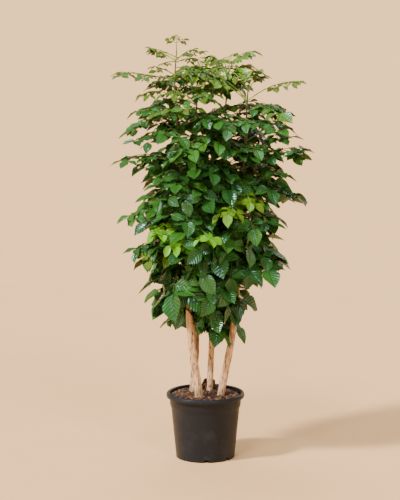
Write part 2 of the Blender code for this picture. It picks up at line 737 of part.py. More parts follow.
def build_skin(leaf, kept):
    """The whole leaf: midrib with joints for its pairs of side stalks, and the leaflets that are kept."""
    skin = Skin()
    by_place = {(item.unit, item.slot): item for item in kept}

    def finish(ring, unit, slot):
        if (unit, slot) in by_place:
            skin.blade(ring, by_place[unit, slot])
        else:
            skin.close(ring)

    def midrib_ring(t):
        share = float(t)
        width = MIDRIB_WIDTH[0] + (MIDRIB_WIDTH[1] - MIDRIB_WIDTH[0]) * share
        depth = MIDRIB_DEPTH[0] + (MIDRIB_DEPTH[1] - MIDRIB_DEPTH[0]) * share
        return skin.ring([v[0] for v in midrib_frame(leaf, share)], width, depth)

    def side_stalk(ring, number, hand):
        unit = 1 + 2 * number + (hand > 0)
        length = pinna_frame(leaf, number, hand, 0)[4]
        half = PAIR_JOINT * leaf.leaflet / 2 / length
        rings = []
        for s in (PAIR_PLACE - half, PAIR_PLACE + half):
            frame = [v[0] for v in pinna_frame(leaf, number, hand, s)[:4]]
            rings.append(skin.ring(frame, STALK_HALF_WIDTH, STALK_HALF_DEPTH))
        skin.stretch(ring, rings[0])
        left, right = skin.stretch(rings[0], rings[1], joint=True)
        finish(left, unit, "left")
        finish(right, unit, "right")
        finish(rings[1], unit, "end")

    root = skin.ring(root_frame(leaf), MIDRIB_WIDTH[0], MIDRIB_DEPTH[0] * 1.2)
    skin.start(root)
    half = JOINT_LENGTH / 2 / leaf.length
    ring = root
    first = pinna_places(leaf)[0]
    ahead = midrib_ring(first * 0.5)
    skin.stretch(ring, ahead)
    ring = ahead
    for number, t in enumerate(pinna_places(leaf)):
        back, front = midrib_ring(t - half), midrib_ring(t + half)
        skin.stretch(ring, back)
        left, right = skin.stretch(back, front, joint=True)
        side_stalk(left, number, -1)
        side_stalk(right, number, 1)
        ring = front
    half = PAIR_JOINT * leaf.leaflet / 2 / leaf.length
    back, front = midrib_ring(MIDRIB_END - half), midrib_ring(MIDRIB_END + half)
    skin.stretch(ring, back)
    left, right = skin.stretch(back, front, joint=True)
    finish(left, 0, "left")
    finish(right, 0, "right")
    finish(front, 0, "end")
    return skin


def lens(leaflet, grow, deepen, start):
    """A leaflet's test shape from a share of its length on: points and triangles."""
    outline, above, below = blade_points(leaflet, grow, deepen)
    foot = leaflet.place + leaflet.heading * (leaflet.length * start)
    half = leaflet.length * (PAIR_JOINT / 2 + start * 0.7) + grow
    side = np.cross(leaflet.heading, leaflet.normal) * half
    edge = [foot - side, foot + side, *outline[0], outline[1], *outline[2]]
    count = len(edge)
    points = [Vector(p) for p in [*edge, above, below]]
    faces = []
    for k in range(count):
        n = (k + 1) % count
        faces += [(count, k, n), (count + 1, n, k)]
    return points, faces


def stem_trees():
    """Test shapes of the stems, a little wider than they are."""
    trees = []
    for stem in STEMS:
        tube = stem_tube(stem, "probe", PROBE_GROWTH, 0, stem.axis[-1][2])
        points = [v.co.copy() for v in tube.data.vertices]
        faces = [tuple(p.vertices) for p in tube.data.polygons]
        trees.append(BVHTree.FromPolygons(points, faces))
        bpy.data.objects.remove(tube, do_unlink=True)
    return trees


def choose_leaflets(leaves):
    """The leaflets of each leaf that cross nothing, each first tried as drawn, then bent, rolled or smaller.

    End leaflets are chosen first in the whole crown, then the side leaflets.
    """
    stems = stem_trees()
    stalks = []
    for leaf in leaves:
        skin = build_skin(leaf, ())
        stalks.append(BVHTree.FromPolygons([Vector(p) for p in skin.points], skin.faces))
    chosen = [[] for _ in leaves]
    spots, owners, trees, cores = [], [], [], []
    order = [(k, item) for wanted in ("end", "side") for k, leaf in enumerate(leaves)
             for item in leaflets_of(leaf) if (item.slot == "end") == (wanted == "end")]
    for k, drawn in order:
        across = np.cross(drawn.heading, drawn.normal)
        for bend, roll, scale in ATTEMPTS:
            bend, roll = math.radians(bend), math.radians(roll)
            heading = turned_about(across, drawn.heading, bend)
            normal = turned_about(heading, turned_about(across, drawn.normal, bend), roll)
            item = drawn._replace(heading=heading, normal=normal, length=drawn.length * scale)
            probe = BVHTree.FromPolygons(*lens(item, PROBE_GROWTH, PROBE_DEPTH, 0))
            core = BVHTree.FromPolygons(*lens(item, 0, 0, 0.12))
            spot = item.place + item.heading * item.length / 2
            if any(probe.overlap(tree) for tree in stems):
                continue
            if core.overlap(stalks[k]):
                continue
            if any(probe.overlap(stalks[n]) for n in range(len(leaves)) if n != k):
                continue
            near = [n for n, other in enumerate(spots) if np.linalg.norm(other - spot) < 0.12]
            mates = [n for n in near if owners[n] == (k, item.unit)]
            if any(probe.overlap(trees[n]) for n in near if n not in mates):
                continue
            if any(core.overlap(cores[n]) for n in mates):
                continue
            chosen[k].append(item)
            spots.append(spot)
            owners.append((k, item.unit))
            trees.append(BVHTree.FromPolygons(*lens(item, 0, 0, 0)))
            cores.append(core)
            break
    return chosen


def crossing(skins, trees, k):
    """The first leaflet that crosses another part of leaf k, or an earlier leaf, and whose leaf it is."""
    for n in range(k, -1, -1):
        for a, b in trees[k].overlap(trees[n]):
            if n == k and (a >= b or set(skins[k].faces[a]) & set(skins[k].faces[b])):
                continue
            offers = [(k, skins[k].leaflet_of(a)), (n, skins[n].leaflet_of(b))]
            offers = [(owner, item) for owner, item in offers if item]
            return min(offers, key=lambda offer: offer[1].slot == "end")
    return None


def build_leaves():
    leaves = plan_leaves()
    chosen = choose_leaflets(leaves)
    skins = [build_skin(leaf, kept) for leaf, kept in zip(leaves, chosen)]
    trees = [skin.tree() for skin in skins]
    for k in range(len(leaves)):
        while found := crossing(skins, trees, k):
            owner, item = found
            chosen[owner].remove(item)
            skins[owner] = build_skin(leaves[owner], chosen[owner])
            trees[owner] = skins[owner].tree()
    for leaf, skin in zip(leaves, skins):
        add_object(leaf.name, skin.points, skin.faces, leaf.kind)


def main():
    clear_scene()
    build_pot()
    build_soil()
    build_stems()
    build_leaves()


main()
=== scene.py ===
"""The looks of a china doll plant in its nursery pot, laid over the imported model.

The crown follows the same plan of leaves as the solids. Metres, +Z up, -Y towards the viewer.
"""

import math
from collections import namedtuple

import bpy
import numpy as np
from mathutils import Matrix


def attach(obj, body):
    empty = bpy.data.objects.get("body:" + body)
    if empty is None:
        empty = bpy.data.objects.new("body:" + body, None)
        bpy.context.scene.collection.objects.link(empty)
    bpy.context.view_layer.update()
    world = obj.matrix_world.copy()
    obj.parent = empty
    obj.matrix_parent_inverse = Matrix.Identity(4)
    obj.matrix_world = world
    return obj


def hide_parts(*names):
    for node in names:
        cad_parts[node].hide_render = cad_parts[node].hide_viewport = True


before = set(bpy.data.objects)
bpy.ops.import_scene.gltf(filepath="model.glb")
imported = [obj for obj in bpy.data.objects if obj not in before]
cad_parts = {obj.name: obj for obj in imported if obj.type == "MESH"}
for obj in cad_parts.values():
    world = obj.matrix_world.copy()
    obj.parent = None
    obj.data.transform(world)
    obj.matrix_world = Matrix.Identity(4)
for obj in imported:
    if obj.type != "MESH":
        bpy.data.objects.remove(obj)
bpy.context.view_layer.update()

bl_info = {
    "name": "China doll plant",
    "version": (1, 0, 0),
    "blender": (4, 5, 0),
    "location": "View3D > Sidebar > Plant",
    "description": "Dresses a potted china doll plant: pot, bark mulch, woody stems and compound leaves",
    "category": "Add Mesh",
}

# Pot, as the solid has it
LIP_RADIUS = 0.1342
LIP_UNDERSIDE = 0.2096
LIP_WIDEST = 0.2160
LIP_SHOULDER = 0.2232
LIP_ROUND = 0.0019
LIP_TOP_WIDTH = 0.0044
POT_HEIGHT = 0.226
WALL = 0.0022
COLLAR_RADIUS = 0.1230
COLLAR_FOOT = 0.1840
COLLAR_TAPER = 0.0018
BODY_TOP_RADIUS = 0.1166
BODY_TOP = 0.169
FOOT_RADIUS = 0.1005
FOOT_RING = 0.0024
FOOT_RECESS = 0.0105
PAD_RADIUS = 0.048
PAD_SLOPE = 0.0075
NOTCHES = 8
NOTCH_WIDTH = 0.0165
NOTCH_HEIGHT = 0.0102
NOTCH_DEPTH = 0.012
NOTCH_TURN = math.radians(2)
NOTCH_SPRING = 0.55
NOTCH_STEPS = 9
POT_SIDES = 144
POT_SHARP_DEGREES = 30
CORNER_ROUND = 0.0011
CORNER_STEPS = 4
CORNER_SHARE = 0.42
GAP = 0.0003

# Finish of the plastic: tint and strength of its sheen, and what the painted shade in the foot's recess
# leaves of its colour
SHEEN_TINT = (0.80, 0.88, 1.0)
SHEEN = 0.2
PAINTED_RECESS_SHADE = (0.04, 0.04, 0.04)

# Soil, as the solid has it
SOIL_EDGE = 0.213
SOIL_DOME = 0.006
HEAP_PLACE = (0.012, 0.068)
HEAP_RADIUS = 0.024
HEAP_HEIGHT = 0.036
SOIL_SIDES = 96
SOIL_RINGS = 40
SOIL_EDGE_RADIUS = COLLAR_RADIUS - WALL - 2 * GAP
RIPPLES = ((0.0016, 190, 5), (0.0010, 430, 6))
RIPPLE_FADE = 0.01

# Bark chips: lengths, widths and thicknesses are shares of one another, drawn between two limits
CHIP_SEED = 17
CHIP_SIDES = 6
CHIP_EDGE = 0.006
CHIP_WALL_GAP = 0.004
CHIP_STEM_GAP = 0.0035
CHIPS_ON_HEAP = 0.10
CHIP_HEAP_SPREAD = (0.017, 0.014)
CHIP_LENGTHS = (0.45, 1.7)
CHIP_WIDTHS = (0.35, 0.75)
CHIP_THICKNESSES = (0.12, 0.28)
CHIP_THICKNESS_LIMITS = (0.0012, 0.0040)
CHIP_TILT = 0.26
CHIP_CORNERS = (0.72, 1.12)
CHIP_BOWS = (-0.5, 0.9)
CHIP_LEVELS = ((-0.5, 1.0), (0.1, 1.04), (0.5, 0.82))
CHIP_LIFT = 0.0012
CHIP_STACK = 0.0022
CHIP_TONES = (1.6, 2.4)
SLOPE_STEP = 0.002
CHIP_SHARP_DEGREES = 35

# Stems, as the solids have them
Stem = namedtuple("Stem", "name axis foot_radius tip_radius")
STEMS = (
    Stem("front_left", (
        (-0.014, -0.046, 0.095), (-0.022, -0.051, 0.217), (-0.050, -0.064, 0.480), (-0.066, -0.080, 0.800),
        (-0.088, -0.094, 1.100), (-0.102, -0.098, 1.300), (-0.096, -0.090, 1.395),
    ), 0.0125, 0.0026),
    Stem("back_left", (
        (-0.046, 0.026, 0.095), (-0.042, 0.031, 0.217), (-0.036, 0.052, 0.480), (-0.050, 0.084, 0.800),
        (-0.038, 0.100, 1.080), (-0.026, 0.104, 1.250),
    ), 0.0110, 0.0026),
    Stem("back_right", (
        (0.012, 0.034, 0.095), (0.0155, 0.040, 0.217), (0.024, 0.058, 0.440), (0.044, 0.086, 0.780),
        (0.062, 0.104, 1.080), (0.076, 0.100, 1.310),
    ), 0.0098, 0.0026),
    Stem("front_right", (
        (0.030, -0.018, 0.095), (0.0515, -0.022, 0.217), (0.098, -0.036, 0.480), (0.112, -0.052, 0.720),
        (0.127, -0.068, 1.010), (0.141, -0.077, 1.285),
    ), 0.0120, 0.0026),
)
STEM_RINGS = 13
HOLE_TOP = 0.262
BARK_HEIGHTS = (0.20, 0.30, 0.50, 0.75, 1.10, 1.30)
BARK_SHARES = (1.08, 1.16, 1.22, 1.0, 0.92, 0.70)
BARK_SIDES = 22
BARK_STEP = 0.007
TAPER_POWER = 0.85

# Bark: the stem with painted shade, where the front stem and the crown would shadow it, how much and between
# which heights, and how far two stems lean apart
BARK_PAINTED_SHADE = {"back_left": (0.75, 0.27, 0.40)}
BARK_SHIFTS = {"front_left": -0.0035, "back_left": 0.004}
SHIFT_HEIGHTS = (0.25, 0.34, 0.46, 0.60)
SCARS_FROM = 0.12
SCAR_STEPS = (0.045, 0.085)
SCARS = 24
SCAR_LENGTH = 0.009
LUMP_WAVES = 62
FLARE = 0.0016
FLARE_HEIGHT = 0.214
FLARE_LENGTH = 0.016

# Plan of the crown, as the solids have it
CROWN_HEIGHTS = (0.40, 0.50, 0.60, 0.75, 0.90, 1.05, 1.17, 1.30, 1.46)
CROWN_LEFT = (0.09, 0.150, 0.215, 0.262, 0.270, 0.285, 0.280, 0.240, 0.13)
CROWN_RIGHT = (0.10, 0.165, 0.235, 0.285, 0.320, 0.330, 0.300, 0.240, 0.13)
CROWN_DEPTH = (0.09, 0.155, 0.220, 0.265, 0.280, 0.280, 0.265, 0.225, 0.12)
LEAFLET_HEIGHTS = (0.45, 0.75, 1.00, 1.20, 1.40)
LEAFLET_LENGTHS = (0.088, 0.080, 0.068, 0.055, 0.040)
ARCH_HEIGHTS = (0.50, 0.70, 0.95, 1.20, 1.40)
ARCH_RISE = (10, 22, 32, 38, 46)
ARCH_DROOP = (70, 88, 88, 66, 40)
CROWN_LEAVES = 42
SPIRAL_TURN = math.pi * (3 - math.sqrt(5))
SPIRAL_SHARES = (0.0, 0.30, 0.72, 1.0)
SPIRAL_HEIGHTS = (0.46, 0.69, 1.12, 1.37)
SPIRAL_REACH = (1.0, 0.92, 0.78)
SHORTEST, LONGEST = 0.125, 0.31
JITTER_DEGREES = 9
TRIES = 30
CLEARANCE = 0.0075
FILLING_CLEARANCE = 0.0035
OWN_STEM_ZONE = 0.03
CROWN_SEED = 26
ACCENTS = (
    ("front_left", 1.300, 172, 14, 16, 0.185, 0.044, "upper"),
    ("front_left", 1.365, 165, 30, 20, 0.085, 0.024, "upper"),
    ("front_left", 1.40, 100, 84, 20, 0.050, 0.024, "upper"),
    ("back_left", 1.26, 150, 82, 30, 0.060, 0.030, "upper"),
    ("back_right", 1.32, 60, 80, 36, 0.070, 0.032, "upper"),
    ("front_right", 1.26, -60, 80, 40, 0.075, 0.034, "upper"),
    ("back_left", 1.236, -25, 40, 24, 0.165, 0.038, "upper"),
    ("front_right", 1.262, -8, 14, 20, 0.165, 0.042, "upper"),
    ("front_right", 1.000, -14, 42, 50, 0.215, 0.056, "mature"),
    ("front_left", 0.700, -164, 30, 62, 0.165, 0.040, "new"),
    ("front_left", 0.765, -98, 38, 84, 0.140, 0.042, "new"),
)
UPPER_FROM = 1.18
SIDE_ANGLE = (62, 50)
SIDE_DROOP = 16
SIDE_SAG = 0.14
SIDE_TAPER = 0.30
LEAFLET_HANG = 18
LEAFLET_ROLL = 16
END_SIZE = 1.12
SIDE_SIZE = 0.90
FIRST_PINNA = 0.42
LAST_PINNA = 0.80
MIDRIB_END = 0.97
STALK_SHARE = 1.10
PAIR_PLACE = 0.86
PAIR_JOINT = 0.115
PAIR_SPREAD = math.radians(80)
STALK_HALF_WIDTH = 0.0011
MOST_PAIRS = 3
EASE_HEIGHTS = (0.70, 1.20)
EASE_SHARES = (1.0, 0.65)
ARCH_POWER = 1.3
LONE_PINNA = 0.55
LEAFLET_LIMIT = 0.42
TIP_SHARE = 1.1
LEAST_LEVEL = 0.3
ROOT_BELOW_TIP = 0.012
SHORT_COST = 10
PAIRS_BY_RULE = 0.62
PAIRS_BY_HAND = 0.55 / 1.15
ROOT_GAP = 1.5 * GAP
SKELETON_STEP = 0.005
SKELETON_LEAST = 8
SKELETON_SHARES = np.linspace(0.05, 1, 14)
ABOVE_STEM = 0.01
RULE_SEED = 100
PAIR_SEED = 50
INNER_SEED = 80
MIDRIB_SEED = 110
FINE = np.linspace(0, 1, 41)

# Unevenness: the most by which a draw between -1 and 1 changes a figure, angles in degrees
SIDE_ANGLE_DRAW = 5
SIDE_DROOP_DRAW = 8
HANG_DRAW = 12
LENGTH_DRAW = 0.10
RISE_DRAW = 7
DROOP_DRAW = 9
LEAFLET_DRAW = 0.08
REACH_DRAW = 0.04
UPPER_DRAW = 0.03
BEND_DRAW = 16
LEAF_ROLL_DRAW = 26
HEIGHT_DRAW = 0.015
HAND_HEIGHT_DRAW = 0.004
HAND_TURN_DRAW = 6
HAND_BEND_DRAW = 8
HAND_ROLL_DRAW = 10

# Leaves of the finished crown alone: sprigs by their figures, bands by heights, number and seed
SPRIGS = (
    ("front_left", 1.374, 172, 26, 16, 0.088, 0.024, "upper"),
    ("front_left", 1.366, 4, 50, 40, 0.066, 0.021, "upper"),
    ("front_left", 1.378, -20, 20, 12, 0.098, 0.019, "upper"),
    ("front_left", 1.358, 24, 22, 30, 0.070, 0.022, "upper"),
    ("front_left", 1.362, -150, 6, 30, 0.045, 0.020, "upper"),
    ("front_left", 1.322, 150, 26, 20, 0.080, 0.030, "upper"),
    ("front_left", 1.345, -14, 8, 40, 0.085, 0.027, "upper"),
    ("front_left", 1.325, -60, 24, 50, 0.090, 0.030, "upper"),
    ("back_left", 1.225, 60, 78, 16, 0.145, 0.026, "upper"),
    ("back_right", 1.302, -6, 80, 78, 0.118, 0.050, "upper"),
    ("back_right", 1.300, 165, 76, 50, 0.088, 0.032, "upper"),
    ("back_right", 1.276, -12, 74, 70, 0.096, 0.054, "upper"),
    ("back_right", 1.265, -80, 38, 60, 0.120, 0.038, "upper"),
    ("back_right", 1.240, -150, 34, 60, 0.150, 0.038, "upper"),
    ("front_right", 1.230, -4, 38, 40, 0.188, 0.032, "upper"),
    ("front_right", 1.258, 12, 76, 70, 0.078, 0.028, "upper"),
    ("front_left", 1.245, 172, 30, 62, 0.115, 0.038, "upper"),
    ("front_left", 1.190, -178, 28, 62, 0.135, 0.046, "upper"),
    ("front_left", 1.100, -176, 28, 66, 0.145, 0.052, "mature"),
    ("front_left", 1.020, 177, 30, 60, 0.195, 0.052, "mature"),
    ("front_left", 0.860, -176, 26, 66, 0.190, 0.050, "mature"),
    ("front_left", 0.745, 176, 22, 60, 0.172, 0.050, "mature"),
    ("front_right", 1.190, 4, 38, 62, 0.106, 0.080, "upper"),
    ("front_right", 1.150, -4, 30, 62, 0.122, 0.076, "upper"),
    ("front_right", 1.100, 4, 34, 66, 0.155, 0.056, "mature"),
    ("front_right", 1.030, 2, 34, 66, 0.190, 0.050, "mature"),
    ("front_right", 1.010, -2, 16, 64, 0.125, 0.066, "mature"),
    ("front_right", 0.960, -10, 18, 64, 0.105, 0.066, "mature"),
    ("front_right", 0.840, -4, 24, 60, 0.115, 0.058, "mature"),
    ("front_right", 0.740, 0, 20, 60, 0.100, 0.064, "mature"),
    ("front_right", 0.700, -16, 26, 60, 0.105, 0.078, "mature"),
    ("front_left", 0.940, 178, 14, 64, 0.105, 0.062, "mature"),
    ("front_left", 0.782, -178, 8, 64, 0.120, 0.060, "mature"),
    ("front_left", 1.205, -75, 24, 56, 0.100, 0.050, "upper"),
    ("front_left", 1.130, -108, 24, 60, 0.110, 0.056, "mature"),
    ("front_left", 1.050, -72, 24, 62, 0.125, 0.060, "mature"),
    ("front_left", 0.975, -102, 24, 62, 0.125, 0.062, "mature"),
    ("front_left", 1.310, -68, 30, 50, 0.066, 0.032, "upper"),
    ("front_left", 1.262, -100, 26, 56, 0.086, 0.040, "upper"),
    ("front_right", 1.165, -98, 24, 56, 0.100, 0.050, "upper"),
    ("front_right", 1.085, -78, 24, 60, 0.112, 0.056, "mature"),
    ("front_left", 0.775, -72, 32, 64, 0.208, 0.040, "new"),
    ("front_left", 0.808, -128, 26, 66, 0.165, 0.040, "new"),
    ("front_right", 0.880, -108, 30, 70, 0.205, 0.046, "new"),
    ("front_right", 0.915, -84, 24, 60, 0.150, 0.040, "new"),
    ("front_left", 1.222, -79, 14, 37, 0.134, 0.045, "upper"),
    ("back_right", 1.295, 100, 44, 49, 0.144, 0.035, "upper"),
)
BANDS = (
    (0.43, 0.52, 5, 133),
    (0.50, 0.60, 10, 266),
    (0.58, 0.68, 11, 317),
    (0.66, 0.76, 12, 448),
    (0.74, 0.84, 12, 576),
    (0.82, 0.92, 12, 621),
    (0.90, 1.00, 12, 745),
    (0.98, 1.08, 9, 815),
    (1.06, 1.16, 8, 910),
    (1.12, 1.20, 7, 1026),
    (1.25, 1.34, 8, 1168),
)
BAND_REACH = (0.50, 0.96)
BAND_TRIES = 12
BAND_JITTER = math.radians(20)
BAND_HEIGHT_DRAW = 0.4
BAND_SEED_STEP = 1000
SPRIG_SEED = 500

# Leaflets that only the finished leaf has: pairs nearer the root of each stalk
INNER_PLACE = 0.46
INNER_SIZE = 0.74

# Leaflets of the finished leaf: half width by share of length, with a drawn-out tip
BLADE_SHARES = (0.0, 0.045, 0.09, 0.17, 0.27, 0.38, 0.50, 0.62, 0.73, 0.83, 0.91, 0.96, 1.0)
BLADE_WIDTHS = (0.012, 0.017, 0.115, 0.218, 0.296, 0.338, 0.346, 0.312, 0.246, 0.158, 0.070, 0.026, 0.0)
BLADE_ROWS = BLADE_SHARES[:-1]
BLADE_COLUMNS = (-1.0, 0.0, 1.0)
BLADE_HALF = 0.00035
VEIN_PAIRS = 7
LIFT_HEIGHTS = (0.45, 0.62, 0.80, 1.15, 1.25, 1.40)
LIFT_SHARES = (0.95, 0.86, 0.72, 0.54, 0.50, 0.52)
SIDE_LIFT = 0.30
RISE_KEPT = 0.6
DROP_HEIGHTS = (1.05, 1.20)
DROP_MOST = math.radians(7)
LIFT_DRAW = math.radians(17)
ROLL_DRAW = math.radians(22)
FINE_HEIGHTS = (0.58, 0.78, 1.05, 1.20, 1.38)
FINE_SHARES = (1.02, 0.92, 0.87, 0.81, 0.86)
SLIM_HEIGHTS = (0.60, 1.00, 1.30)
SLIM_SHARES = (1.04, 0.96, 0.84)
WIDTH_DRAW = (0.90, 1.06)
CUP_DRAW = (0.15, 0.45)
SAG_DRAW = (0.06, 0.24)
TWIST_DRAW = (-0.38, 0.38)
WAVE_HEIGHT = 0.026
WAVE_DRAW = (9, 15)
PHASE_DRAW = (0, 6.28)
WAVE_LEAN = 1.2
LIFT_SEED = 11
BLADE_SEED = 9

# Stalks of the finished leaf: radii along the midrib by share of its length, and along a side stalk
MIDRIB_PLACES = (0, 0.05, 1)
MIDRIB_RADII = (0.00253, 0.00187, 0.0009)
MIDRIB_SIDES = 7
SIDE_STALK_RADII = (0.0011, 0.0007)
SIDE_STALK_SIDES = 5
MIDRIB_SHARES = np.linspace(0, MIDRIB_END + 0.01, 15)
SIDE_STALK_SHARES = np.linspace(0, PAIR_PLACE + 0.04, 6)

# Colour by age, from 0 when old to 1 on new shoots
AGE_HEIGHTS = (0.45, 0.80, 1.05, 1.18, 1.27, 1.36)
AGE_SHARES = (0.18, 0.20, 0.23, 0.32, 0.56, 0.70)
SHOOT_HEIGHTS = (0.69, 0.75, 0.84, 0.88)
SHOOT_SHARES = (0.58, 0.95, 0.96, 0.78)
AGE_DRAW = (0.11, 0.05)
AGE_SEED = 7

# Finish of the blade: what the painted shade in a sunk vein leaves of its colour, and the tint of the wax's
# shine
VEIN_SHADE = (0.42, 0.48, 0.45)
WAX_TINT = (0.56, 0.87, 1.0)

# Stage. Each lamp has its azimuth from +X, elevation, share of the key light, spread in degrees and colour
FLOOR_SIZE = 120.0
BACKDROP_RISE = (math.sin(math.radians(7)), math.sin(math.radians(15)))
BACKDROP_LIGHT = 2.35
LAMPS = (
    ("key", -148, 44, 1.0, 8, (1.0, 0.96, 0.90)),
    ("top", 110, 66, 0.24, 30, (1.0, 0.99, 0.97)),
    ("back", 62, 26, 0.07, 30, (1.0, 0.99, 0.97)),
    ("low_key", -152, 14, 0.12, 16, (1.0, 0.97, 0.93)),
    ("fill", -35, 24, 0.04, 50, (0.90, 0.96, 1.0)),
    ("gleam_middle", -108, 54, 0.27, 15, (0.96, 0.98, 1.0)),
    ("gleam_right", -64, 36, 0.20, 13, (0.96, 0.98, 1.0)),
)
CAMERA_DISTANCE = 7.0
CAMERA_HEIGHT = 1.845
CAMERA_SIDE = -0.0186
CAMERA_PITCH = 9.15
CAMERA_FOCAL_PIXELS = 2092
CAMERA_REACH = 500
IMAGE_WIDTH = 400
SENSOR_MM = 36

Leaf = namedtuple("Leaf", "name stem base azimuth rise droop bend roll length leaflet pairs kind seed")
Leaflet = namedtuple("Leaflet", "place heading normal length")
Part = namedtuple("Part", "points corners counts material maps")


def linear(hex_text):
    """Linear RGB of an sRGB hex value."""
    srgb = np.array([int(hex_text[k:k + 2], 16) for k in (0, 2, 4)]) / 255
    return tuple(float(v) for v in np.where(srgb <= 0.04045, srgb / 12.92, ((srgb + 0.055) / 1.055) ** 2.4))


def colour_of(hex_text, name, description):
    """A colour setting that starts at an sRGB hex value."""
    return bpy.props.FloatVectorProperty(
        name=name, description=description, subtype="COLOR", size=3, min=0, max=1, default=linear(hex_text))


def amount(default, least, most, name, description, **kind):
    """A number setting with its limits."""
    return bpy.props.FloatProperty(
        name=name, description=description, min=least, max=most, default=default, **kind)


class PotLook(bpy.types.PropertyGroup):
    """Colours and finish of the pot"""
    plastic: colour_of("1A1C21", "Plastic", "Colour of the pot's recycled polypropylene")
    dust: colour_of("323236", "Dust", "Colour of the dust and scuffs on the pot")
    roughness: amount(0.38, 0, 1, "Roughness", "How matt the moulded wall is", subtype="FACTOR")


class SoilLook(bpy.types.PropertyGroup):
    """Colours of the mulch, and how many chips of what size it has"""
    humus: colour_of("2A1A0F", "Humus", "Colour of the potting mix between the chips")
    chip_dark: colour_of("3C2211", "Dark chips", "Colour of weathered bark chips")
    chip_light: colour_of("A87446", "Light chips", "Colour of freshly broken bark chips")
    chips: bpy.props.IntProperty(
        name="Chips", description="How many bark chips lie on the soil", min=50, max=2000, default=760)
    chip_length: amount(0.0125, 0.004, 0.04, "Chip length", "Length of a middling bark chip", unit="LENGTH")


class StemLook(bpy.types.PropertyGroup):
    """Colours and relief of the bark"""
    bark: colour_of("D4AE86", "Bark", "Colour of the dry outer bark")
    crack: colour_of("4E2A14", "Cracks", "Colour in the cracks and leaf scars of the bark")
    # The shoot colour is the young wood's own, and also painted shade where the stems go in under the crown
    shoot: colour_of("3A3E1E", "Shoot", "Colour of the young wood at the top")
    relief: amount(0.0007, 0, 0.003, "Relief", "Height of the bark's ridges and swellings", unit="LENGTH")


class LeafLook(bpy.types.PropertyGroup):
    """Colours and finish of the leaves"""
    mature: colour_of("1F471E", "Mature", "Colour of the oldest leaves")
    middle: colour_of("396B22", "Middle", "Colour of full-grown leaves in the light")
    upper: colour_of("566C06", "Upper", "Colour of the leaves near the top")
    young: colour_of("6AB40A", "Young", "Colour of new shoots")
    under: colour_of("4C6B3A", "Underside", "Colour of the underside of a leaf")
    stalk: colour_of("55752A", "Stalk", "Colour of petioles and midribs")
    gloss: amount(0.14, 0, 1, "Roughness", "How matt the waxy upper side is", subtype="FACTOR")
    vein_depth: amount(0.0015, 0, 0.003, "Vein depth", "How deep the blade's veins are sunk", unit="LENGTH")


class StageLook(bpy.types.PropertyGroup):
    """Colour of the floor and strength of the light"""
    floor: colour_of("DDB07A", "Floor", "Colour of the plain floor")
    sky: colour_of("FFF3E2", "Surroundings", "Colour of the light from all round")
    sky_strength: amount(0.31, 0, 5, "Surrounding light", "Strength of the light from all round")
    key_strength: amount(5.9, 0, 20, "Key light", "Strength of the broad light from the upper left, in W/m2")


def node(tree, kind, inputs=None, **settings):
    """Adds a shader node with its settings, and a value or a link for each named input."""
    made = tree.nodes.new("ShaderNode" + kind)
    for key, setting in settings.items():
        setattr(made, key, setting)
    for key, given in (inputs or {}).items():
        if isinstance(given, bpy.types.NodeSocket):
            tree.links.new(given, made.inputs[key])
        else:
            made.inputs[key].default_value = given
    return made


def rgba(colour):
    """The colour with a full alpha."""
    return (*colour, 1.0)


def tinted(colour, share):
    """The colour made darker or lighter by a share."""
    return tuple(min(1.0, share * c) for c in colour)


def blended(first, second, share):
    """The colour that lies a share of the way from the first to the second."""
    return tuple((1 - share) * a + share * b for a, b in zip(first, second))


def place_in(tree):
    """Socket of the point's place in metres."""
    return node(tree, "TexCoord").outputs["Object"]


def height_in(tree, place):
    """Socket of the place's height."""
    return node(tree, "SeparateXYZ", {"Vector": place}).outputs["Z"]


def stored(tree, name):
    """Socket of a value that the mesh holds for each point."""
    return node(tree, "Attribute", attribute_name=name).outputs["Fac"]


def stretched(tree, place, scale):
    """Socket of the place scaled along each axis: a small figure draws a pattern out along its axis."""
    return node(tree, "Mapping", {"Vector": place, "Scale": scale}).outputs[0]


def noise(tree, place, scale, detail, roughness=0.5, distortion=0.0, output="Fac"):
    """Socket of soft clouds, about scale of them to the metre."""
    made = node(tree, "TexNoise", {
        "Vector": place, "Scale": scale, "Detail": detail, "Roughness": roughness, "Distortion": distortion})
    return made.outputs[output]


def cells(tree, place, scale, output):
    """Socket of a Voronoi pattern, about scale cells to the metre."""
    return node(tree, "TexVoronoi", {"Vector": place, "Scale": scale, "Randomness": 1.0}).outputs[output]


def math_of(tree, operation, first, second=0.0, third=0.0):
    """Socket of a Math node."""
    return node(tree, "Math", {0: first, 1: second, 2: third}, operation=operation).outputs[0]


def between(tree, source, low, high, at_low, at_high):
    """Socket that goes from at_low to at_high while the source goes from low to high."""
    return node(tree, "MapRange", {"Value": source, 1: low, 2: high, 3: at_low, 4: at_high}).outputs[0]


def mixed(tree, factor, first, second, blend="MIX"):
    """Colour socket between two colours or sockets."""
    made = node(tree, "Mix", {0: factor, 6: first, 7: second}, data_type="RGBA", blend_type=blend)
    return made.outputs[2]


def ramp(tree, factor, stops):
    """Colour socket of a ramp through (place, colour) stops."""
    made = node(tree, "ValToRGB", {"Fac": factor})
    elements = made.color_ramp.elements
    while len(elements) < len(stops):
        elements.new(0.5)
    for element, (place, colour) in zip(elements, stops):
        element.position = place
        element.color = rgba(colour)
    return made.outputs["Color"]


def bumped(tree, height, strength, distance, **below):
    """Socket of a normal that a height of so many metres tilts, over the bump below if there is one."""
    inputs = {"Height": height, "Strength": strength, "Distance": distance, **below}
    return node(tree, "Bump", inputs).outputs[0]


def empty_material(name):
    """A material with nothing in it, and its node tree."""
    made = bpy.data.materials.new(name)
    made.use_nodes = True
    tree = made.node_tree
    tree.nodes.clear()
    return made, tree


def finished(made, inputs):
    """The material with one Principled BSDF that has these inputs."""
    tree = made.node_tree
    shader = node(tree, "BsdfPrincipled", inputs)
    node(tree, "OutputMaterial", {"Surface": shader.outputs["BSDF"]})
    return made


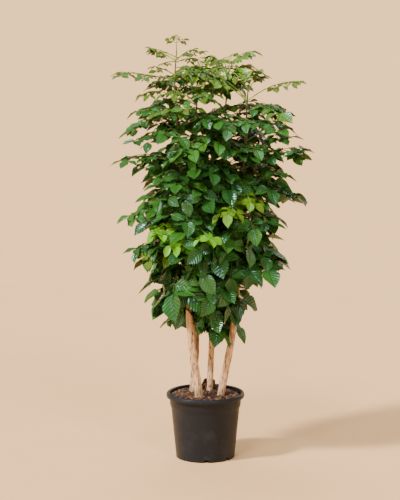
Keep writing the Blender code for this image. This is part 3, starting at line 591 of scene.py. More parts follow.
def plastic_material(look):
    """Injection-moulded recycled polypropylene: charcoal and satin, with flow marks, fine grain and dust.

    Low down inside the foot ring, painted shade darkens its colour and takes away its sheen, so the drain
    notches look deep.
    """
    made, tree = empty_material("moulded_polypropylene")
    place = place_in(tree)
    marks = noise(tree, stretched(tree, place, (14, 14, 90)), 1.0, 4.0, 0.6)
    grain = noise(tree, place, 900.0, 2.0)
    dusty = between(tree, noise(tree, place, 16.0, 5.0, 0.62), 0.50, 0.74, 0.0, 0.55)
    colour = mixed(tree, dusty, rgba(look.plastic), rgba(look.dust))
    flat = node(tree, "VectorMath", {0: place, 1: (1, 1, 0)}, operation="MULTIPLY").outputs[0]
    radius = node(tree, "VectorMath", {0: flat}, operation="LENGTH").outputs["Value"]
    # Painted shade: low down inside the foot ring the plastic is darkened and loses its sheen, as if in
    # shadow
    inner = between(tree, radius, FOOT_RADIUS - WALL, FOOT_RADIUS, 1.0, 0.0)
    low = between(tree, height_in(tree, place), FOOT_RECESS, FOOT_RECESS + WALL, 1.0, 0.0)
    recess_shade = math_of(tree, "MULTIPLY", inner, low)
    colour = mixed(tree, recess_shade, colour, rgba(PAINTED_RECESS_SHADE), "MULTIPLY")
    sheen = math_of(tree, "MULTIPLY_ADD", recess_shade, -SHEEN, SHEEN)
    rough = math_of(tree, "MULTIPLY_ADD", marks, 0.16, look.roughness - 0.06)
    rough = math_of(tree, "MULTIPLY_ADD", dusty, 0.22, rough)
    flow = bumped(tree, marks, 0.35, 0.0006)
    return finished(made, {
        "Base Color": colour, "Roughness": rough, "IOR": 1.49, "Specular IOR Level": sheen,
        "Specular Tint": rgba(SHEEN_TINT), "Normal": bumped(tree, grain, 0.25, 0.0002, Normal=flow)})


def humus_material(look):
    """Peat and composted bark: dull, crumbly, nearly black where it is damp."""
    made, tree = empty_material("composted_bark")
    place = place_in(tree)
    damp = noise(tree, place, 45.0, 6.0, 0.65)
    colour = ramp(tree, damp, ((0.35, look.humus), (0.70, tinted(look.humus, 2.6))))
    colour = mixed(tree, 0.5, colour, cells(tree, place, 260.0, "Color"), "SOFT_LIGHT")
    bump = bumped(tree, cells(tree, place, 260.0, "Distance"), 1.0, 0.0015)
    return finished(made, {"Base Color": colour, "Roughness": 0.95, "Normal": bump})


def chip_material(look):
    """Broken pine bark: each chip has its own tone, with fibres along it and a corky sheen."""
    made, tree = empty_material("pine_bark_chips")
    place = place_in(tree)
    fibre = noise(tree, place, 420.0, 4.0, distortion=0.8)
    patch = noise(tree, place, 150.0, 3.0, output="Color")
    tone = math_of(tree, "MULTIPLY_ADD", fibre, 0.34, math_of(tree, "SUBTRACT", stored(tree, "tone"), 0.17))
    dark, light = look.chip_dark, look.chip_light
    stops = ((0.0, tinted(dark, 0.45)), (0.42, dark), (0.74, blended(dark, light, 0.38)), (1.0, light))
    colour = mixed(tree, 0.35, ramp(tree, tone, stops), patch, "SOFT_LIGHT")
    return finished(made, {
        "Base Color": colour, "Roughness": 0.78, "Normal": bumped(tree, fibre, 0.9, 0.0012)})


def bark_material(look):
    """Dry, thin bark: tan and papery, drawn out along the stem, with brown cracks and scars.

    It is darker just above the soil. Higher up it turns brown and ever greener towards the young wood at the
    top, partly the young wood's own colour and partly painted shade under the crown.
    """
    made, tree = empty_material("dry_stem_bark")
    place = place_in(tree)
    streaks = noise(tree, stretched(tree, place, (230, 230, 20)), 1.0, 6.0, 0.68, 0.4)
    clouds = noise(tree, place, 42.0, 4.0, 0.6)
    spots = cells(tree, stretched(tree, place, (105, 105, 40)), 1.0, "Distance")
    spots = between(tree, spots, 0.16, 0.36, 1.0, 0.0)
    scarred = math_of(tree, "MULTIPLY", spots, between(tree, clouds, 0.42, 0.54, 0.0, 1.0))
    shade = blended(look.bark, look.crack, 0.55)
    pale = tinted(look.bark, 1.22)
    colour = ramp(tree, streaks, ((0.36, look.crack), (0.45, shade), (0.53, look.bark), (0.64, pale)))
    colour = mixed(tree, between(tree, clouds, 0.36, 0.50, 0.60, 0.0), colour, rgba(shade))
    # Painted shade on the back left stem, darker from its middle up
    colour = mixed(tree, stored(tree, "weathered"), colour, rgba(shade), "MULTIPLY")
    colour = mixed(tree, scarred, colour, rgba(look.crack))
    height = height_in(tree, place)
    # Towards the crown the bark takes the shoot colour: the young wood's own, and painted shade under the
    # leaves
    colour = mixed(tree, between(tree, height, 0.45, 0.68, 0.0, 0.95), colour, rgba(look.shoot))
    # Darker just above the soil
    colour = mixed(tree, between(tree, height, 0.222, 0.250, 0.45, 0.0), colour, rgba(look.crack))
    relief = math_of(tree, "MULTIPLY_ADD", scarred, -0.7, streaks)
    return finished(made, {
        "Base Color": colour, "Roughness": 0.72, "Normal": bumped(tree, relief, 1.0, 0.0022)})


def blade_material(look):
    """Leaf blade under a waxy cuticle: deep green, glossy, quilted between sunk veins darkened by painted
    shade, dull beneath.

    The map's x runs along a leaflet and its y across it, in shares of its length, with the midrib at 0.5.
    The side veins slant forwards from the midrib, and the blade bulges between them.
    """
    made, tree = empty_material("waxy_leaf_blade")
    across = node(tree, "SeparateXYZ", {"Vector": node(tree, "UVMap", uv_map="blade").outputs[0]})
    off = math_of(tree, "ABSOLUTE", math_of(tree, "SUBTRACT", across.outputs["Y"], 0.5))
    slant = math_of(tree, "MULTIPLY_ADD", off, -0.95, across.outputs["X"])
    wave = math_of(tree, "PINGPONG", math_of(tree, "MULTIPLY", slant, float(VEIN_PAIRS)), 0.5)
    quilt = math_of(tree, "POWER", math_of(tree, "MULTIPLY", wave, 2.0), 0.55)
    relief = math_of(tree, "MULTIPLY", quilt, between(tree, off, 0.0, 0.05, 0.0, 1.0))
    age, under = stored(tree, "age"), stored(tree, "under")
    mottle = noise(tree, place_in(tree), 55.0, 4.0, 0.6)
    drift = math_of(tree, "MULTIPLY_ADD", stored(tree, "tone"), 0.16, math_of(tree, "SUBTRACT", age, 0.08))
    drift = math_of(tree, "MULTIPLY_ADD", mottle, 0.14, math_of(tree, "SUBTRACT", drift, 0.07))
    ages = (0.0, look.mature), (0.36, look.middle), (0.66, look.upper), (1.0, look.young)
    green = ramp(tree, drift, ages)
    # Painted shade in the sunk veins, fading out over the bulges between them
    veined = mixed(tree, between(tree, relief, 0.20, 0.62, 0.62, 0.0), green, rgba(VEIN_SHADE), "MULTIPLY")
    colour = mixed(tree, under, veined, mixed(tree, 0.72, rgba(look.under), green))
    rough = math_of(tree, "MULTIPLY_ADD", age, 0.16, look.gloss - 0.04)
    rough = math_of(tree, "MULTIPLY_ADD", under, 0.30, rough)
    rough = math_of(tree, "MULTIPLY_ADD", mottle, 0.10, rough)
    return finished(made, {
        "Base Color": colour, "Roughness": rough, "IOR": 1.47, "Specular IOR Level": 0.56,
        "Specular Tint": rgba(WAX_TINT), "Normal": bumped(tree, relief, 1.0, look.vein_depth)})


def stalk_material(look):
    """Petioles and midribs: smooth, fleshy, green, browner where they are old."""
    made, tree = empty_material("green_petiole")
    fresh = blended(look.stalk, look.young, 0.5)
    ages = (0.0, tinted(look.stalk, 0.55)), (0.45, look.stalk), (1.0, fresh)
    colour = ramp(tree, stored(tree, "age"), ages)
    streaks = noise(tree, place_in(tree), 120.0, 3.0, output="Color")
    colour = mixed(tree, 0.3, colour, streaks, "SOFT_LIGHT")
    return finished(made, {"Base Color": colour, "Roughness": 0.45, "IOR": 1.45})


def floor_material(look):
    """Honed plaster floor: matt and even, with a trace of the float's marks."""
    made, tree = empty_material("honed_plaster")
    marks = noise(tree, place_in(tree), 5.0, 6.0)
    colour = ramp(tree, marks, ((0.3, tinted(look.floor, 0.97)), (0.7, look.floor)))
    return finished(made, {"Base Color": colour, "Roughness": 0.85})


def fill_mesh(mesh, points, corners, counts):
    """Gives an empty mesh its points, and faces that take counts corners each, in turn."""
    mesh.vertices.add(len(points))
    mesh.vertices.foreach_set("co", np.ascontiguousarray(points, np.float32).ravel())
    mesh.loops.add(len(corners))
    mesh.loops.foreach_set("vertex_index", np.ascontiguousarray(corners, np.int32))
    mesh.polygons.add(len(counts))
    starts = np.concatenate([[0], np.cumsum(counts)[:-1]])
    mesh.polygons.foreach_set("loop_start", starts.astype(np.int32))
    mesh.update(calc_edges=True)


def piece(name, parts, materials, stands_for=(), sharp_degrees=60):
    """One object of some parts, that rides on the plant.

    A part's maps hold a value for each of its points: floats by name, and blade, the map of leaflets. Where
    a part lacks a map that another has, its values are 0.
    """
    mesh = bpy.data.meshes.new(name)
    sizes = [len(part.points) for part in parts]
    firsts = np.cumsum([0, *sizes[:-1]])
    points = np.concatenate([part.points for part in parts])
    corners = np.concatenate([part.corners + first for part, first in zip(parts, firsts)])
    fill_mesh(mesh, points, corners, np.concatenate([part.counts for part in parts]))
    wears = np.concatenate([np.full(len(part.counts), part.material) for part in parts])
    mesh.polygons.foreach_set("material_index", wears.astype(np.int32))
    for key in sorted({key for part in parts for key in part.maps}):
        width = 2 if key == "blade" else 1
        values = np.concatenate([
            np.reshape(part.maps.get(key, np.zeros(size * width)), (size, width))
            for part, size in zip(parts, sizes)]).astype(np.float32)
        if key == "blade":
            mesh.uv_layers.new(name=key).uv.foreach_set("vector", values[corners].ravel())
        else:
            mesh.attributes.new(key, "FLOAT", "POINT").data.foreach_set("value", values.ravel())
    mesh.validate()
    mesh.shade_smooth()
    mesh.set_sharp_from_angle(angle=math.radians(sharp_degrees))
    for material in materials:
        mesh.materials.append(material)
    obj = bpy.data.objects.new(name, mesh)
    bpy.context.scene.collection.objects.link(obj)
    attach(obj, "root")
    if stands_for:
        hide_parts(*stands_for)
    return obj


def circle(sides):
    """Angles of points spaced evenly round a circle."""
    return np.arange(sides) * 2 * math.pi / sides


def seeded(seed, shape):
    """Draws between -1 and 1."""
    return np.random.default_rng(seed).uniform(-1, 1, shape)


def unit(vectors):
    """The vectors at length 1."""
    return vectors / np.linalg.norm(vectors, axis=-1, keepdims=True)


def ring_faces(rows, sides):
    """Corners of the quads between rings of points, each ring joined to the next."""
    row, column = np.meshgrid(np.arange(rows - 1), np.arange(sides), indexing="ij")
    after = (column + 1) % sides
    here = row * sides
    quads = np.stack([here + column, here + after, here + sides + after, here + sides + column], axis=-1)
    return quads.reshape(-1, 4)


def repeated(corners, counts, size, copies):
    """The faces of one body for so many copies of its points, which follow one another."""
    shift = np.arange(copies)[:, None] * size
    return (corners[None] + shift).ravel(), np.tile(counts, copies)


def capped_faces(rows, sides, copies=1):
    """Corners and counts of bodies of rings, each closed by one flat face at either end."""
    quads = ring_faces(rows, sides)
    ends = np.arange(sides)[::-1], (rows - 1) * sides + np.arange(sides)
    counts = np.concatenate([np.full(len(quads), 4), [sides, sides]])
    return repeated(np.concatenate([quads.ravel(), *ends]), counts, rows * sides, copies)


def turned_rings(profile, sides):
    """A ring for each (radius, height) of a profile: point (i, k) is (r_i cos a_k, r_i sin a_k, z_i)."""
    profile = np.asarray(profile, float)
    radii, heights = profile[:, :1], np.repeat(profile[:, 1:], sides, axis=1)
    turns = circle(sides)
    return np.stack([radii * np.cos(turns), radii * np.sin(turns), heights], axis=-1)


def skin_part(rings, bottom, top):
    """A closed skin round the axis: a fan from its first point there, rings, and a fan to its last."""
    rows, sides = rings.shape[:2]
    points = np.concatenate([rings.reshape(-1, 3), [[0, 0, bottom], [0, 0, top]]])
    quads = ring_faces(rows, sides)
    here = np.arange(sides)
    after = (here + 1) % sides
    last = (rows - 1) * sides
    first_fan = np.stack([np.full(sides, len(points) - 2), after, here], axis=-1)
    last_fan = np.stack([np.full(sides, len(points) - 1), last + here, last + after], axis=-1)
    corners = np.concatenate([quads.ravel(), first_fan.ravel(), last_fan.ravel()])
    counts = np.concatenate([np.full(len(quads), 4), np.full(2 * sides, 3)])
    return Part(points, corners, counts, 0, {})


def rounded(profile, radius, steps):
    """The profile with each inner corner replaced by a short curve: a parabola between the two cut edges."""
    profile = np.asarray(profile, float)
    made = [profile[0]]
    share = np.linspace(0, 1, steps)[:, None]
    for before, corner, after in zip(profile[:-2], profile[1:-1], profile[2:]):
        cuts = []
        for edge in (before - corner, after - corner):
            cuts.append(corner + unit(edge) * min(radius, CORNER_SHARE * np.linalg.norm(edge)))
        made.extend(cuts[0] * (1 - share) ** 2 + corner * 2 * share * (1 - share) + cuts[1] * share**2)
    made.append(profile[-1])
    return np.array(made)


def pot_profile():
    """The pot from the middle of its underside up the outside, over the lip and down the inside."""
    inner_edge = LIP_RADIUS - LIP_ROUND - LIP_TOP_WIDTH
    floor = FOOT_RECESS + WALL
    return [
        (0, 0),
        (PAD_RADIUS, 0),
        (PAD_RADIUS + PAD_SLOPE, FOOT_RECESS),
        (FOOT_RADIUS - FOOT_RING, FOOT_RECESS),
        (FOOT_RADIUS - FOOT_RING, 0),
        (FOOT_RADIUS, 0),
        (FOOT_RADIUS + WALL / 2, FOOT_RECESS + WALL),
        (BODY_TOP_RADIUS, BODY_TOP),
        (COLLAR_RADIUS - COLLAR_TAPER, COLLAR_FOOT),
        (COLLAR_RADIUS, LIP_UNDERSIDE - GAP),
        (LIP_RADIUS - LIP_ROUND, LIP_UNDERSIDE),
        (LIP_RADIUS, LIP_WIDEST),
        (LIP_RADIUS - LIP_ROUND, LIP_SHOULDER),
        (inner_edge, POT_HEIGHT),
        (COLLAR_RADIUS - WALL / 2, POT_HEIGHT - LIP_ROUND * 1.5),
        (COLLAR_RADIUS - WALL, LIP_UNDERSIDE - WALL),
        (COLLAR_RADIUS - WALL - COLLAR_TAPER, COLLAR_FOOT + GAP),
        (BODY_TOP_RADIUS - WALL, BODY_TOP),
        (FOOT_RADIUS - WALL, floor),
        (PAD_RADIUS + PAD_SLOPE - WALL, floor),
        (PAD_RADIUS - WALL / 2, WALL),
        (0, WALL),
    ]


def notch_cutters():
    """Points, corners and counts of the cutters for the drain notches: an arch each, through the foot ring.

    An arch is a half ellipse over straight sides. Its two ends lie NOTCH_DEPTH inside and outside the ring.
    Its walls are turned over against its ends, and with them the cut leaves the front left notch closed.
    """
    half, below, spring = NOTCH_WIDTH / 2, -NOTCH_HEIGHT, NOTCH_HEIGHT * NOTCH_SPRING
    bow = np.linspace(0, math.pi, NOTCH_STEPS)
    curve = np.stack([half * np.cos(bow), spring + (NOTCH_HEIGHT - spring) * np.sin(bow)], axis=-1)
    arch = np.concatenate([[(half, below)], curve, [(-half, below)]])
    turns = NOTCH_TURN + circle(NOTCHES) - math.pi / 2
    out = np.stack([np.cos(turns), np.sin(turns), 0 * turns], axis=-1)[:, None, None]
    side = np.stack([-np.sin(turns), np.cos(turns), 0 * turns], axis=-1)[:, None, None]
    reach = np.array([FOOT_RADIUS - NOTCH_DEPTH, FOOT_RADIUS + NOTCH_DEPTH])[None, :, None, None]
    points = out * reach + side * arch[:, :1] + np.array([0, 0, 1]) * arch[:, 1:]
    sides = len(arch)
    walls = ring_faces(2, sides)[::-1, ::-1]
    corners = np.concatenate([walls.ravel(), np.arange(sides)[::-1], sides + np.arange(sides)])
    counts = np.concatenate([np.full(len(walls), 4), [sides, sides]])
    return points.reshape(-1, 3), *repeated(corners, counts, 2 * sides, NOTCHES)


def cut(obj, cutter):
    """Takes the cutter away from the object for good."""
    step = obj.modifiers.new("cut", "BOOLEAN")
    step.operation = "DIFFERENCE"
    step.solver = "EXACT"
    step.object = cutter
    with bpy.context.temp_override(object=obj, active_object=obj, selected_objects=[obj]):
        bpy.ops.object.modifier_apply(modifier=step.name)
    bpy.data.objects.remove(cutter, do_unlink=True)


def smooth_at(knots, values, at):
    """Cubic through the values at the knots, its slope at a knot taken from the neighbours on both sides."""
    knots, values = np.asarray(knots, float), np.asarray(values, float)
    slopes = np.gradient(values, knots, axis=0)
    at = np.atleast_1d(np.clip(at, knots[0], knots[-1]))
    i = np.clip(np.searchsorted(knots, at) - 1, 0, len(knots) - 2)
    span = (knots[i + 1] - knots[i])[:, None]
    u = (at - knots[i])[:, None] / span
    return (
        values[i] * (1 + 2 * u) * (1 - u) ** 2
        + slopes[i] * span * u * (1 - u) ** 2
        + values[i + 1] * (3 - 2 * u) * u**2
        + slopes[i + 1] * span * (u - 1) * u**2
    )


def stem_centre(stem, z):
    """(x, y) of the stem's axis at each height z."""
    axis = np.array(stem.axis)
    return smooth_at(axis[:, 2], axis[:, :2], z)


def stem_line(stem, z):
    """(x, y) of the axis as the solid has it above the soil: straight from ring to ring."""
    heights = np.linspace(HOLE_TOP, stem.axis[-1][2], STEM_RINGS)
    centres = stem_centre(stem, heights)
    return np.stack([np.interp(z, heights, centres[:, k]) for k in range(2)], axis=-1)


def stem_radius(stem, z):
    """Radius at height z: it falls from foot to tip with the share of the height to a power."""
    low, high = stem.axis[1][2], stem.axis[-1][2]
    share = np.clip((np.asarray(z, float) - low) / (high - low), 0, 1)
    return stem.foot_radius + (stem.tip_radius - stem.foot_radius) * share**TAPER_POWER


def soil_height(x, y):
    """Height of the soil: a low dome and a heap behind the stems."""
    share = (x * x + y * y) / COLLAR_RADIUS**2
    away = ((x - HEAP_PLACE[0]) ** 2 + (y - HEAP_PLACE[1]) ** 2) / HEAP_RADIUS**2
    return SOIL_EDGE + SOIL_DOME * (1 - share) + HEAP_HEIGHT * np.exp(-(away**2))


def ripple(x, y, scale, seed):
    """Smooth unevenness between about -1 and 1: three crossed sine waves with seeded phases."""
    phases = np.random.default_rng(seed).uniform(0, 2 * math.pi, 3)
    return (
        np.sin(x * scale + phases[0]) * np.cos(y * scale * 1.3 + phases[1])
        + 0.6 * np.sin((x + y) * scale * 1.9 + phases[2])
    ) / 1.6


def soil_part():
    """The soil in one skin: a plain body that fits the pot, under rings at soil_height plus ripples."""
    turns = circle(SOIL_SIDES)
    radii = np.linspace(0, SOIL_EDGE_RADIUS, SOIL_RINGS + 1)[:0:-1, None]
    x, y = radii * np.cos(turns), radii * np.sin(turns)
    rough = sum(height * ripple(x, y, scale, seed) for height, scale, seed in RIPPLES)
    z = soil_height(x, y) + np.clip((SOIL_EDGE_RADIUS - radii) / RIPPLE_FADE, 0, 1) * rough
    body = turned_rings([
        (PAD_RADIUS - WALL / 2 - GAP, WALL + GAP),
        (PAD_RADIUS + PAD_SLOPE - WALL - GAP, FOOT_RECESS + WALL + GAP),
        (FOOT_RADIUS - WALL - GAP, FOOT_RECESS + WALL + GAP),
        (BODY_TOP_RADIUS - WALL - GAP, BODY_TOP),
        (COLLAR_RADIUS - WALL - GAP - COLLAR_TAPER, COLLAR_FOOT + GAP),
    ], SOIL_SIDES)
    rings = np.concatenate([body, np.stack([x, y, z], axis=-1)])
    return skin_part(rings, WALL + GAP, float(soil_height(0, 0)))


def chip_places(rng, count):
    """(x, y) of the chips: spread evenly over the soil, a share of them on its heap, none in a stem."""
    radius = np.sqrt(rng.uniform(0, 1, count)) * (SOIL_EDGE_RADIUS - CHIP_EDGE)
    turn = rng.uniform(0, 2 * math.pi, count)
    x, y = radius * np.cos(turn), radius * np.sin(turn)
    heaped = rng.uniform(0, 1, count) < CHIPS_ON_HEAP
    x[heaped] = HEAP_PLACE[0] + rng.normal(0, CHIP_HEAP_SPREAD[0], heaped.sum())
    y[heaped] = HEAP_PLACE[1] + rng.normal(0, CHIP_HEAP_SPREAD[1], heaped.sum())
    free = np.hypot(x, y) < SOIL_EDGE_RADIUS - CHIP_WALL_GAP
    for stem in STEMS:
        centre = np.array(stem.axis[1][:2])
        free &= np.hypot(x - centre[0], y - centre[1]) > stem.foot_radius + CHIP_STEM_GAP
    return x[free], y[free]


def chips_part(look):
    """Bark chips: six-sided flakes, bowed along their length, strewn over the soil and up its heap.

    Corner k of a flake lies (L/2 s cos a_k, W/2 s sin a_k) from its middle along and across it, s being a
    seeded spread, and its upper outline is drawn in. The flake lies on the soil's slope, tilted a little.
    """
    rng = np.random.default_rng(CHIP_SEED)
    x, y = chip_places(rng, look.chips)
    count = len(x)
    length = look.chip_length * rng.uniform(*CHIP_LENGTHS, count)
    width = length * rng.uniform(*CHIP_WIDTHS, count)
    thick = np.clip(length * rng.uniform(*CHIP_THICKNESSES, count), *CHIP_THICKNESS_LIMITS)
    yaw = rng.uniform(0, 2 * math.pi, count)
    tilt = rng.normal(0, CHIP_TILT, (count, 2))
    slope_x = (soil_height(x + SLOPE_STEP, y) - soil_height(x - SLOPE_STEP, y)) / (2 * SLOPE_STEP)
    slope_y = (soil_height(x, y + SLOPE_STEP) - soil_height(x, y - SLOPE_STEP)) / (2 * SLOPE_STEP)
    up = unit(np.stack([tilt[:, 0] - slope_x, tilt[:, 1] - slope_y, np.ones(count)], axis=-1))
    ahead = np.stack([np.cos(yaw), np.sin(yaw), np.zeros(count)], axis=-1)
    ahead = unit(ahead - up * np.sum(ahead * up, axis=1, keepdims=True))
    side = np.cross(up, ahead)
    corner = circle(CHIP_SIDES)
    spread = rng.uniform(*CHIP_CORNERS, (count, CHIP_SIDES))
    bow = rng.uniform(*CHIP_BOWS, count)[:, None] * thick[:, None] * np.cos(corner) ** 2
    rings = []
    for level, shrink in CHIP_LEVELS:
        a = (np.cos(corner) * spread * shrink * length[:, None] / 2)[..., None]
        b = (np.sin(corner) * spread * shrink * width[:, None] / 2)[..., None]
        c = (thick[:, None] * level - bow)[..., None]
        rings.append(ahead[:, None] * a + side[:, None] * b + up[:, None] * c)
    base = np.stack([x, y, soil_height(x, y) + CHIP_LIFT + rng.uniform(0, CHIP_STACK, count)], axis=-1)
    points = np.stack(rings, axis=1) + base[:, None, None]
    tone = np.repeat(np.clip(rng.beta(*CHIP_TONES, count), 0, 1), len(rings) * CHIP_SIDES)
    return Part(points.reshape(-1, 3), *capped_faces(len(rings), CHIP_SIDES, count), 0, {"tone": tone})


def bark_relief(heights, turns, rng):
    """How far the bark stands out, in units of its relief, at each height and turn.

    It swells at old leaf scars, a bell curve up the stem and a cosine round it, and is fluted by two slow
    spirals and lumpy by crossed sines.
    """
    low, high = heights[0], heights[-1]
    scars = low + SCARS_FROM + np.cumsum(rng.uniform(*SCAR_STEPS, SCARS))
    facing = rng.uniform(0, 2 * math.pi, SCARS)
    swelling = np.zeros((len(heights), len(turns)))
    for place, face in zip(scars[scars < high - 0.02], facing):
        near = np.exp(-(((heights - place) / SCAR_LENGTH) ** 2))
        swelling += near[:, None] * (0.9 + 1.1 * np.cos(turns - face))
    phase = rng.uniform(0, 2 * math.pi, 4)
    z = heights[:, None]
    flutes = np.sin(3 * turns + phase[0] + 6 * z) + 0.7 * np.sin(5 * turns + phase[1] - 9 * z)
    lumps = np.sin(z * LUMP_WAVES + phase[2] + np.cos(turns)) * np.cos(2 * turns + phase[3])
    return 0.8 * swelling + 0.45 * flutes + 0.45 * lumps


def bark_part(stem, look):
    """A stem's bark: rings on the axis at its radius plus its relief, with a flare just above the soil."""
    low, high = stem.axis[0][2], stem.axis[-1][2]
    heights = np.append(np.arange(low, high, BARK_STEP), high)
    centres = stem_centre(stem, heights)
    centres[:, 0] += BARK_SHIFTS.get(stem.name, 0) * np.interp(heights, SHIFT_HEIGHTS, (0, 1, 1, 0))
    radii = stem_radius(stem, heights)
    turns = circle(BARK_SIDES)
    rng = np.random.default_rng([3, len(stem.name), int(1e4 * stem.foot_radius)])
    thick = np.clip(radii / stem.foot_radius, 0.25, 1)
    relief = bark_relief(heights, turns, rng) * look.relief * thick[:, None]
    flare = FLARE * np.exp(-(((heights - FLARE_HEIGHT) / FLARE_LENGTH) ** 2))
    r = (radii * np.interp(heights, BARK_HEIGHTS, BARK_SHARES) + flare)[:, None] + relief
    points = np.stack([
        centres[:, :1] + r * np.cos(turns), centres[:, 1:] + r * np.sin(turns),
        np.repeat(heights[:, None], BARK_SIDES, axis=1)], axis=-1)
    # Painted shade: how much each ring of bark is darkened, only on the stems listed
    most, start, full = BARK_PAINTED_SHADE.get(stem.name, (0, 0, 1))
    shaded = np.repeat(np.interp(heights, (start, full), (0, most)), BARK_SIDES)
    return Part(points.reshape(-1, 3), *capped_faces(len(heights), BARK_SIDES), 0, {"weathered": shaded})


def midrib_frame(leaf, t):
    """Place, heading, right-hand side and upper normal at shares t of the midrib.

    The heading's elevation falls from rise by droop times t to the power 1.3, its azimuth turns by bend t,
    and the place is the sum of the headings.
    """

    def heading(s):
        """Unit heading at shares s, from its elevation and azimuth."""
        tilt = leaf.rise - leaf.droop * s**ARCH_POWER
        turn = leaf.azimuth + leaf.bend * s
        return np.stack([np.cos(tilt) * np.cos(turn), np.cos(tilt) * np.sin(turn), np.sin(tilt)], axis=-1)

    t = np.atleast_1d(np.asarray(t, float))
    steps = (heading(FINE[1:]) + heading(FINE[:-1])) / 2 * (leaf.length / (len(FINE) - 1))
    track = leaf.base + np.concatenate([np.zeros((1, 3)), np.cumsum(steps, axis=0)])
    place = np.stack([np.interp(t, FINE, track[:, k]) for k in range(3)], axis=-1)
    ahead = heading(t)
    turn = leaf.azimuth + leaf.bend * t
    level = np.stack([np.sin(turn), -np.cos(turn), np.zeros_like(turn)], axis=-1)
    upright = np.cross(level, ahead)
    roll = leaf.roll * t
    side = level * np.cos(roll)[:, None] - upright * np.sin(roll)[:, None]
    return place, ahead, side, np.cross(side, ahead)


def eased(leaf):
    """The share of its droop that a leaf keeps: less high up, where leaves are young and stiff."""
    return float(np.interp(leaf.base[2], EASE_HEIGHTS, EASE_SHARES))


def pinna_places(leaf):
    """Shares of the midrib at which the pairs of side stalks leave it."""
    return np.linspace(FIRST_PINNA, LAST_PINNA, leaf.pairs) if leaf.pairs > 1 else np.array([LONE_PINNA])


def pinna_frame(leaf, number, hand, s):
    """The same four at shares s of a side stalk, whose hand is 1 on the right and -1 on the left.

    The stalk leaves the midrib sideways and sags by the square of the share.
    """
    draws = seeded([leaf.seed, number, hand + 1], 4)
    share = number / max(leaf.pairs - 1, 1)
    place, ahead, side, normal = (v[0] for v in midrib_frame(leaf, pinna_places(leaf)[number]))
    low, high = SIDE_ANGLE
    spread = math.radians(low + (high - low) * share + SIDE_ANGLE_DRAW * draws[0])
    droop = math.radians(SIDE_DROOP + SIDE_DROOP_DRAW * draws[1]) * eased(leaf)
    length = leaf.leaflet * (STALK_SHARE - SIDE_TAPER * share) * (1 + LENGTH_DRAW * draws[2])
    out = ahead * math.cos(spread) + side * (hand * math.sin(spread))
    heading = out * math.cos(droop) - normal * math.sin(droop)
    s = np.atleast_1d(np.asarray(s, float))[:, None]
    down = np.array([0, 0, -SIDE_SAG * eased(leaf)])
    places = place + length * (s * heading + s**2 * down)
    aheads = unit(heading + 2 * s * down)
    sides = unit(np.cross(aheads, normal * math.cos(droop) + out * math.sin(droop)))
    return places, aheads, sides, np.cross(sides, aheads)


def turned_about(axis, vector, angle):
    """The vector turned about a unit axis by an angle."""
    return (
        vector * math.cos(angle) + np.cross(axis, vector) * math.sin(angle)
        + axis * (axis @ vector) * (1 - math.cos(angle))
    )


def leaflet_at(hand, frame_here, length, draws, ease):
    """A leaflet that leaves its stalk ahead, hand 0, or to a side, and hangs and rolls a little."""
    place, ahead, side, normal = (v[0] for v in frame_here)
    place = place + side * (hand * STALK_HALF_WIDTH) + ahead * (length * PAIR_JOINT / 2 * (hand == 0))
    heading = ahead * math.cos(PAIR_SPREAD * hand) + side * math.sin(PAIR_SPREAD * hand)
    across = np.cross(heading, normal)
    hang = math.radians(LEAFLET_HANG * ease + HANG_DRAW * draws[0])
    heading = turned_about(across, heading, -hang)
    normal = turned_about(across, normal, -hang)
    normal = turned_about(heading, normal, math.radians(LEAFLET_ROLL) * draws[1])
    return Leaflet(place, heading, normal, length * (1 + LENGTH_DRAW * draws[2]))


def leaflets_of(leaf):
    """The leaflets that the solid has: one at the end and a pair, of the midrib and of each side stalk."""
    made = []
    stalks = [(0, 0)] + [(number, hand) for number in range(leaf.pairs) for hand in (-1, 1)]
    for order, (number, hand) in enumerate(stalks):
        draws = seeded([leaf.seed, PAIR_SEED + order], (3, 3))
        here = pinna_frame(leaf, number, hand, PAIR_PLACE) if hand else midrib_frame(leaf, MIDRIB_END)
        for side, size, drawn in zip((0, -1, 1), (END_SIZE, SIDE_SIZE, SIDE_SIZE), draws):
            made.append(leaflet_at(side, here, leaf.leaflet * size, drawn, eased(leaf)))
    return made


def inner_leaflets(leaf):
    """Leaflets that only the finished leaf has: a pair on each side stalk, and pairs between those stalks."""
    places = pinna_places(leaf)
    frames = [
        (INNER_SEED + 2 * number + (hand > 0), pinna_frame(leaf, number, hand, INNER_PLACE))
        for number in range(leaf.pairs) for hand in (-1, 1)]
    gaps = [*((places[:-1] + places[1:]) / 2), (LAST_PINNA + MIDRIB_END) / 2]
    frames += [(MIDRIB_SEED + number, midrib_frame(leaf, t)) for number, t in enumerate(gaps)]
    return [
        leaflet_at(hand, here, leaf.leaflet * INNER_SIZE, drawn, eased(leaf))
        for order, here in frames for hand, drawn in zip((-1, 1), seeded([leaf.seed, order], (2, 3)))]


def skeleton_points(leaf):
    """Points every few millimetres along the midrib and the side stalks."""
    along = np.linspace(0, MIDRIB_END, max(SKELETON_LEAST, int(leaf.length / SKELETON_STEP)))
    found = [midrib_frame(leaf, along)[0]]
    for number in range(leaf.pairs):
        for hand in (-1, 1):
            found.append(pinna_frame(leaf, number, hand, SKELETON_SHARES)[0])
    return np.concatenate(found)


def clear_of_stems(points, own, clearance):
    """Whether the points keep clear of every stem, and of their own beyond a zone round its axis."""
    for stem in STEMS:
        beside = points[points[:, 2] < stem.axis[-1][2] + ABOVE_STEM]
        away = np.linalg.norm(beside[:, :2] - stem_line(stem, beside[:, 2]), axis=1)
        near = away < stem_radius(stem, beside[:, 2]) + clearance
        if stem is own:
            near &= away > OWN_STEM_ZONE
        if near.any():
            return False
    return True


